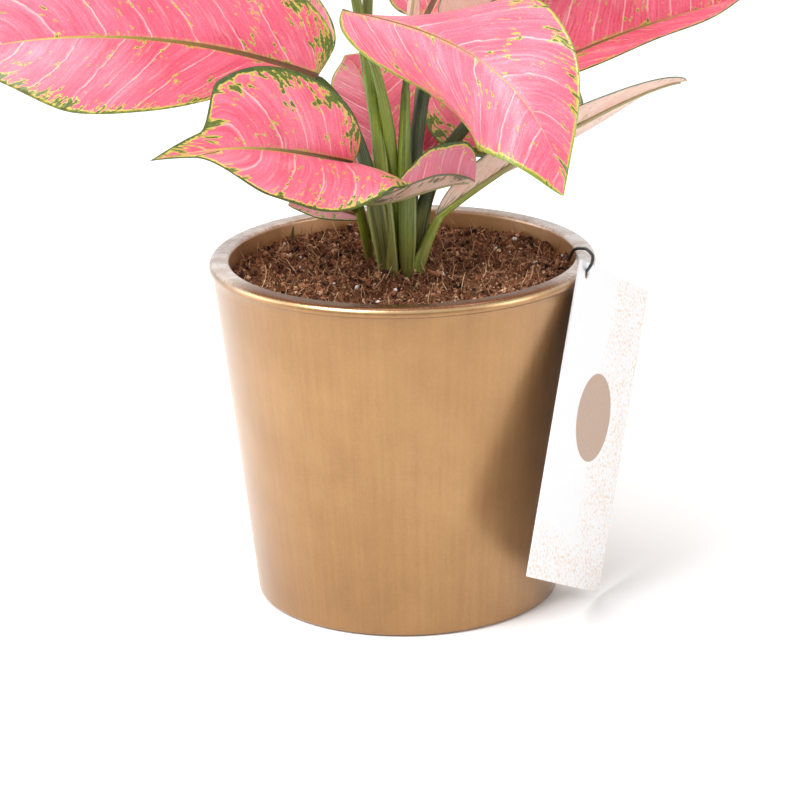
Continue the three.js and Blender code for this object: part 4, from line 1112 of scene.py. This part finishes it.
def scatter_crumbs(name, count, sizes, shape, lift, material, seed, uneven, detail=2, smooth=True):
    """Lumps strewn on the mix in one mesh. sizes: least and greatest radius. shape: stretch on x, y, z.
    lift: how much of its radius a lump stands up. uneven: its roughness. detail: its subdivisions."""
    draw = np.random.default_rng(seed)
    base, base_faces = icosphere(detail)
    bits = []
    for _ in range(count):
        grown = draw.uniform() ** 2.6
        size = sizes[0] + (sizes[1] - sizes[0]) * grown
        bent = base * (1 + uneven * draw.normal(size=(len(base), 1)) * 0.5)
        lump = turned(draw, bent * np.array(shape) * draw.uniform(0.65, 1.35, 3)) * size
        x, y = random_place(draw, size + 0.8, CRUMBS_START)
        z = surface_at(x, y) + lift * size
        bits.append((lump + [x, y, z], base_faces, draw.uniform() * (1 - 0.5 * grown)))
    scattered(name, bits, smooth, material)


def fibre(draw, x, y, length, radius, rise):
    """A thin curved thread that lies on the mix, or rises from it, as rings of points."""
    heading = draw.uniform(0, 2 * math.pi)
    bend = draw.normal() * 1.6
    t = np.linspace(-0.5, 0.5, FIBRE_RINGS)
    turn = heading + bend * t
    step = length / (FIBRE_RINGS - 1)
    xs = x + np.concatenate([[0], np.cumsum(np.cos(turn[:-1]) * step)]) - 0.5 * length * math.cos(heading)
    ys = y + np.concatenate([[0], np.cumsum(np.sin(turn[:-1]) * step)]) - 0.5 * length * math.sin(heading)
    limit = hollow_radius(SOIL_TOP) - 0.8
    scale = np.minimum(1, limit / np.maximum(np.hypot(xs, ys), 1e-6))
    xs, ys = xs * scale, ys * scale
    ground = np.array([surface_at(a, b) for a, b in zip(xs, ys)])
    humps = draw.uniform(0.1, 0.7) * np.sin(math.pi * (t + 0.5) * draw.uniform(0.6, 1.6)) ** 2
    zs = 0.6 * ground + 0.4 * ground.mean() + radius + humps + rise * (t + 0.5) ** 1.4
    path = np.stack([xs, ys, zs], axis=-1)
    along, ups = carried_up(path, np.array([0.1, 0.2, 0.97]))
    taper = radius * (0.35 + 0.65 * np.sin(math.pi * np.clip((t + 0.5), 0.06, 0.94)) ** 0.6)
    return rings_along(path, ups, np.cross(along, ups), round_angles(FIBRE_SIDES), taper[:, None])


def scatter_fibres(name, count, lengths, radii, material, seed, rising):
    """Threads strewn on the mix in one mesh. rising: the share of them that stand up from it."""
    draw = np.random.default_rng(seed)
    faces = np.array(tube_faces(FIBRE_RINGS, FIBRE_SIDES))
    bits = []
    for _ in range(count):
        x, y = random_place(draw, 3, FIBRES_START)
        length = draw.uniform(*lengths)
        rise = draw.uniform(1.5, 6.0) if draw.uniform() < rising else 0.0
        points = fibre(draw, x, y, length, draw.uniform(*radii), rise)
        bits.append((points, faces, draw.uniform()))
    scattered(name, bits, True, material)


def make_soil():
    make_soil_bed(soil_earth())
    peat = crumb_material("peat", ((0.18, "#1A100B"), (0.36, "#573423"), (0.56, "#A56E4B"), (0.8, "#EFCAA6")))
    coir = crumb_material("coir", ((0.15, "#452818"), (0.45, "#875235"), (0.75, "#B98560"),
                                   (0.98, "#E8C69E")))
    bark = crumb_material("bark", ((0.1, "#4E2E1E"), (0.45, "#875234"), (0.8, "#B27A50")), 420.0)
    perlite = crumb_material("perlite", ((0.1, "#D8D2CA"), (0.6, "#F4F1EC")), 900.0, 0.85, 0.0004)
    scatter_crumbs("soil_crumbs", 2300, (0.35, 1.6), (1, 0.7, 0.5), 0.25, peat, 11, 0.7, smooth=False)
    scatter_crumbs("soil_grit", 6000, (0.15, 0.75), (1, 0.75, 0.6), 0.5, peat, 16, 0.9, 1, smooth=False)
    scatter_crumbs("soil_bark", 42, (0.7, 2.0), (1.8, 0.8, 0.3), 0.4, bark, 12, 0.25)
    scatter_crumbs("soil_perlite", 44, (0.4, 1.1), (1, 0.9, 0.8), 0.55, perlite, 13, 0.22)
    scatter_fibres("soil_fibres", 3300, (1.2, 6), (0.05, 0.17), coir, 14, 0.25)
    scatter_fibres("soil_straws", 36, (8, 16), (0.12, 0.28), coir, 15, 0.35)


# ---------------------------------------------------------------- card and wire

WIRE_PATH = (
    (54, 4, 101), (55, 4, 111), (56.4, 4, 116.8), (58.9, 3.5, 120.4), (60.5, 2.2, 123.2), (61.3, 0.6, 125.4),
    (62, -2.4, 127.7), (63.2, -6, 129.3), (64.4, -11, 130.7), (65.4, -18, 132.5), (66.3, -26, 133.7),
    (67, -31.5, 133.6), (66.6, -34.2, 132.1), (65.9, -33.4, 130.3), (65.3, -31.6, 128.8), (64.9, -30, 127.6),
    (64.6, -29.6, 127.2),
)


def smooth_path(points, steps):
    """A smooth curve through points, with so many steps between two of them."""
    p = np.array(points, float)
    p = np.concatenate([[2 * p[0] - p[1]], p, [2 * p[-1] - p[-2]]])
    made = []
    for a, b, c, d in zip(p, p[1:], p[2:], p[3:]):
        for k in range(steps):
            t = k / steps
            made.append(0.5 * (2 * b + (c - a) * t + (2 * a - 5 * b + 4 * c - d) * t * t
                               + (3 * b - a - 3 * c + d) * t**3))
    made.append(p[-2])
    return np.array(made)


def make_wire(material):
    path = smooth_path(WIRE_PATH, 8)
    radii = np.full(len(path), WIRE_RADIUS * 0.98)
    radii[-3:] = WIRE_RADIUS * np.array([0.95, 0.85, 0.6])
    along, ups = carried_up(path, unit(np.array([0, 1, 0.2])))
    points = rings_along(path, ups, np.cross(along, ups), round_angles(WIRE_SIDES), radii[:, None])
    obj = mesh_object("wire_pick", points, tube_faces(len(path), WIRE_SIDES))
    return dress(obj, "wire", [material], "tag_hook")


def card_frame():
    bearing = math.radians(CARD_BEARING)
    out = np.array([math.sin(bearing), -math.cos(bearing), 0])
    level = np.array([-out[1], out[0], 0])
    hole = out * CARD_PLANE + level * CARD_ALONG
    hole[2] = CARD_HOLE_HEIGHT
    turn = math.radians(CARD_TURN)
    up = np.array([0, 0, 1.0])
    right = level * math.cos(turn) - up * math.sin(turn)
    top = level * math.sin(turn) + up * math.cos(turn)
    return hole, right, top, out


def make_card(material):
    hole, right, top, out = card_frame()
    x0, x1 = -CARD_HOLE_ACROSS, CARD_WIDTH - CARD_HOLE_ACROSS
    y0, y1 = CARD_HOLE_DOWN - CARD_HEIGHT, CARD_HOLE_DOWN
    outline = []
    for cx, cy, start in ((x1, y1, 0), (x0, y1, 90), (x0, y0, 180), (x1, y0, 270)):
        cx -= math.copysign(CARD_CORNER, cx)
        cy -= math.copysign(CARD_CORNER, cy)
        outline += arc(cx, cy, CARD_CORNER, start, start + 90, 5)
    made = bmesh.new()
    hole_edge = arc(0, 0, CARD_HOLE_RADIUS, 0, 360, CARD_HOLE_SIDES)[:-1]
    rim, inner = ([made.verts.new((x, y, 0)) for x, y in loop] for loop in (outline, hole_edge))
    edges = [made.edges.new((a, b)) for loop in (rim, inner) for a, b in zip(loop, loop[1:] + loop[:1])]
    bmesh.ops.triangle_fill(made, use_beauty=True, use_dissolve=False, edges=edges, normal=(0, 0, 1))
    raised = bmesh.ops.extrude_face_region(made, geom=list(made.faces))
    for v in (g for g in raised["geom"] if isinstance(g, bmesh.types.BMVert)):
        v.co.z = CARD_THICKNESS
    bmesh.ops.recalc_face_normals(made, faces=made.faces)
    made.verts.index_update()
    flat = np.array([v.co[:] for v in made.verts])
    faces = [[v.index for v in f.verts] for f in made.faces]
    made.free()
    flat[:, 2] -= CARD_THICKNESS / 2
    points = hole + flat[:, :1] * right + flat[:, 1:2] * top + flat[:, 2:] * out
    attributes = (("across", flat[:, 0] + CARD_HOLE_ACROSS), ("down", CARD_HOLE_DOWN - flat[:, 1]),
                  ("front", (flat[:, 2] > 0).astype(float)))
    obj = mesh_object("card_sheet", points, faces, False, attributes)
    return dress(obj, "card", [material], "tag_card")


# ---------------------------------------------------------------- camera, light and floor

def make_camera():
    data = bpy.data.cameras.new("camera")
    data.sensor_width = CAMERA_SENSOR
    data.lens = CAMERA_LENS
    data.clip_start = 0.05
    data.clip_end = 20
    camera = bpy.data.objects.new("camera", data)
    camera.location = Vector(CAMERA_PLACE) * MM
    tilt = Matrix.Rotation(math.radians(90 - CAMERA_PITCH), 3, "X")
    roll = Matrix.Rotation(math.radians(CAMERA_ROLL), 3, "Z")
    camera.rotation_euler = (tilt @ roll).to_euler()
    bpy.context.scene.collection.objects.link(camera)
    bpy.context.scene.camera = camera


def area_light(name, place, aim, size, power):
    data = bpy.data.lights.new(name, "AREA")
    data.shape = "RECTANGLE"
    data.size, data.size_y = size
    data.energy = power
    lamp = bpy.data.objects.new(name, data)
    lamp.location = place
    lamp.rotation_euler = (Vector(aim) - Vector(place)).to_track_quat("-Z", "Y").to_euler()
    bpy.context.scene.collection.objects.link(lamp)


def make_stage():
    scene = bpy.context.scene
    scene.view_settings.view_transform = "Standard"
    scene.view_settings.look = "None"
    world = bpy.data.worlds.new("studio")
    world.use_nodes = True
    background = world.node_tree.nodes["Background"]
    background.inputs["Color"].default_value = (1, 1, 1, 1)
    background.inputs["Strength"].default_value = WORLD_LIGHT
    scene.world = world
    corners = [(x * FLOOR_SIZE, y * FLOOR_SIZE, -FLOOR_DOWN) for x, y in ((-1, -1), (1, -1), (1, 1), (-1, 1))]
    floor = mesh_object("floor", corners, [(0, 1, 2, 3)])
    floor.data.materials.append(floor_white())
    area_light("key", (-0.8, -0.7, 1.5), (0, 0, 0.15), (0.8, 0.8), 28)
    area_light("window", (-1.5, 0.15, 0.5), (0, 0, 0.1), (0.9, 1.0), 9)
    area_light("strip", (1.4, -0.6, 0.55), (0, 0, 0.08), (0.5, 0.8), 8)
    area_light("top", (0.1, 0.6, 1.7), (0, 0, 0.1), (1.0, 1.0), 14)


# ---------------------------------------------------------------- the plant in its pot

make_camera()
make_stage()

make_pot(gold_paint())
make_soil()

upper_skin, under_skin, green_stalk = leaf_upper(), leaf_under(), stalk_skin()
for leaf_name, leaf_spec in LEAVES.items():
    leaf_spec["length"] = length_of(leaf_spec["midrib"])
    make_blade(leaf_name, leaf_spec, LOOKS[leaf_name], [upper_skin, under_skin])
    make_stalk(leaf_name, leaf_spec, LOOKS[leaf_name], green_stalk)

for bare in ("crown", "sprout"):
    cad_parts[bare].data.materials.clear()
    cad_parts[bare].data.materials.append(green_stalk)

make_card(card_print())
make_wire(wire_coat())
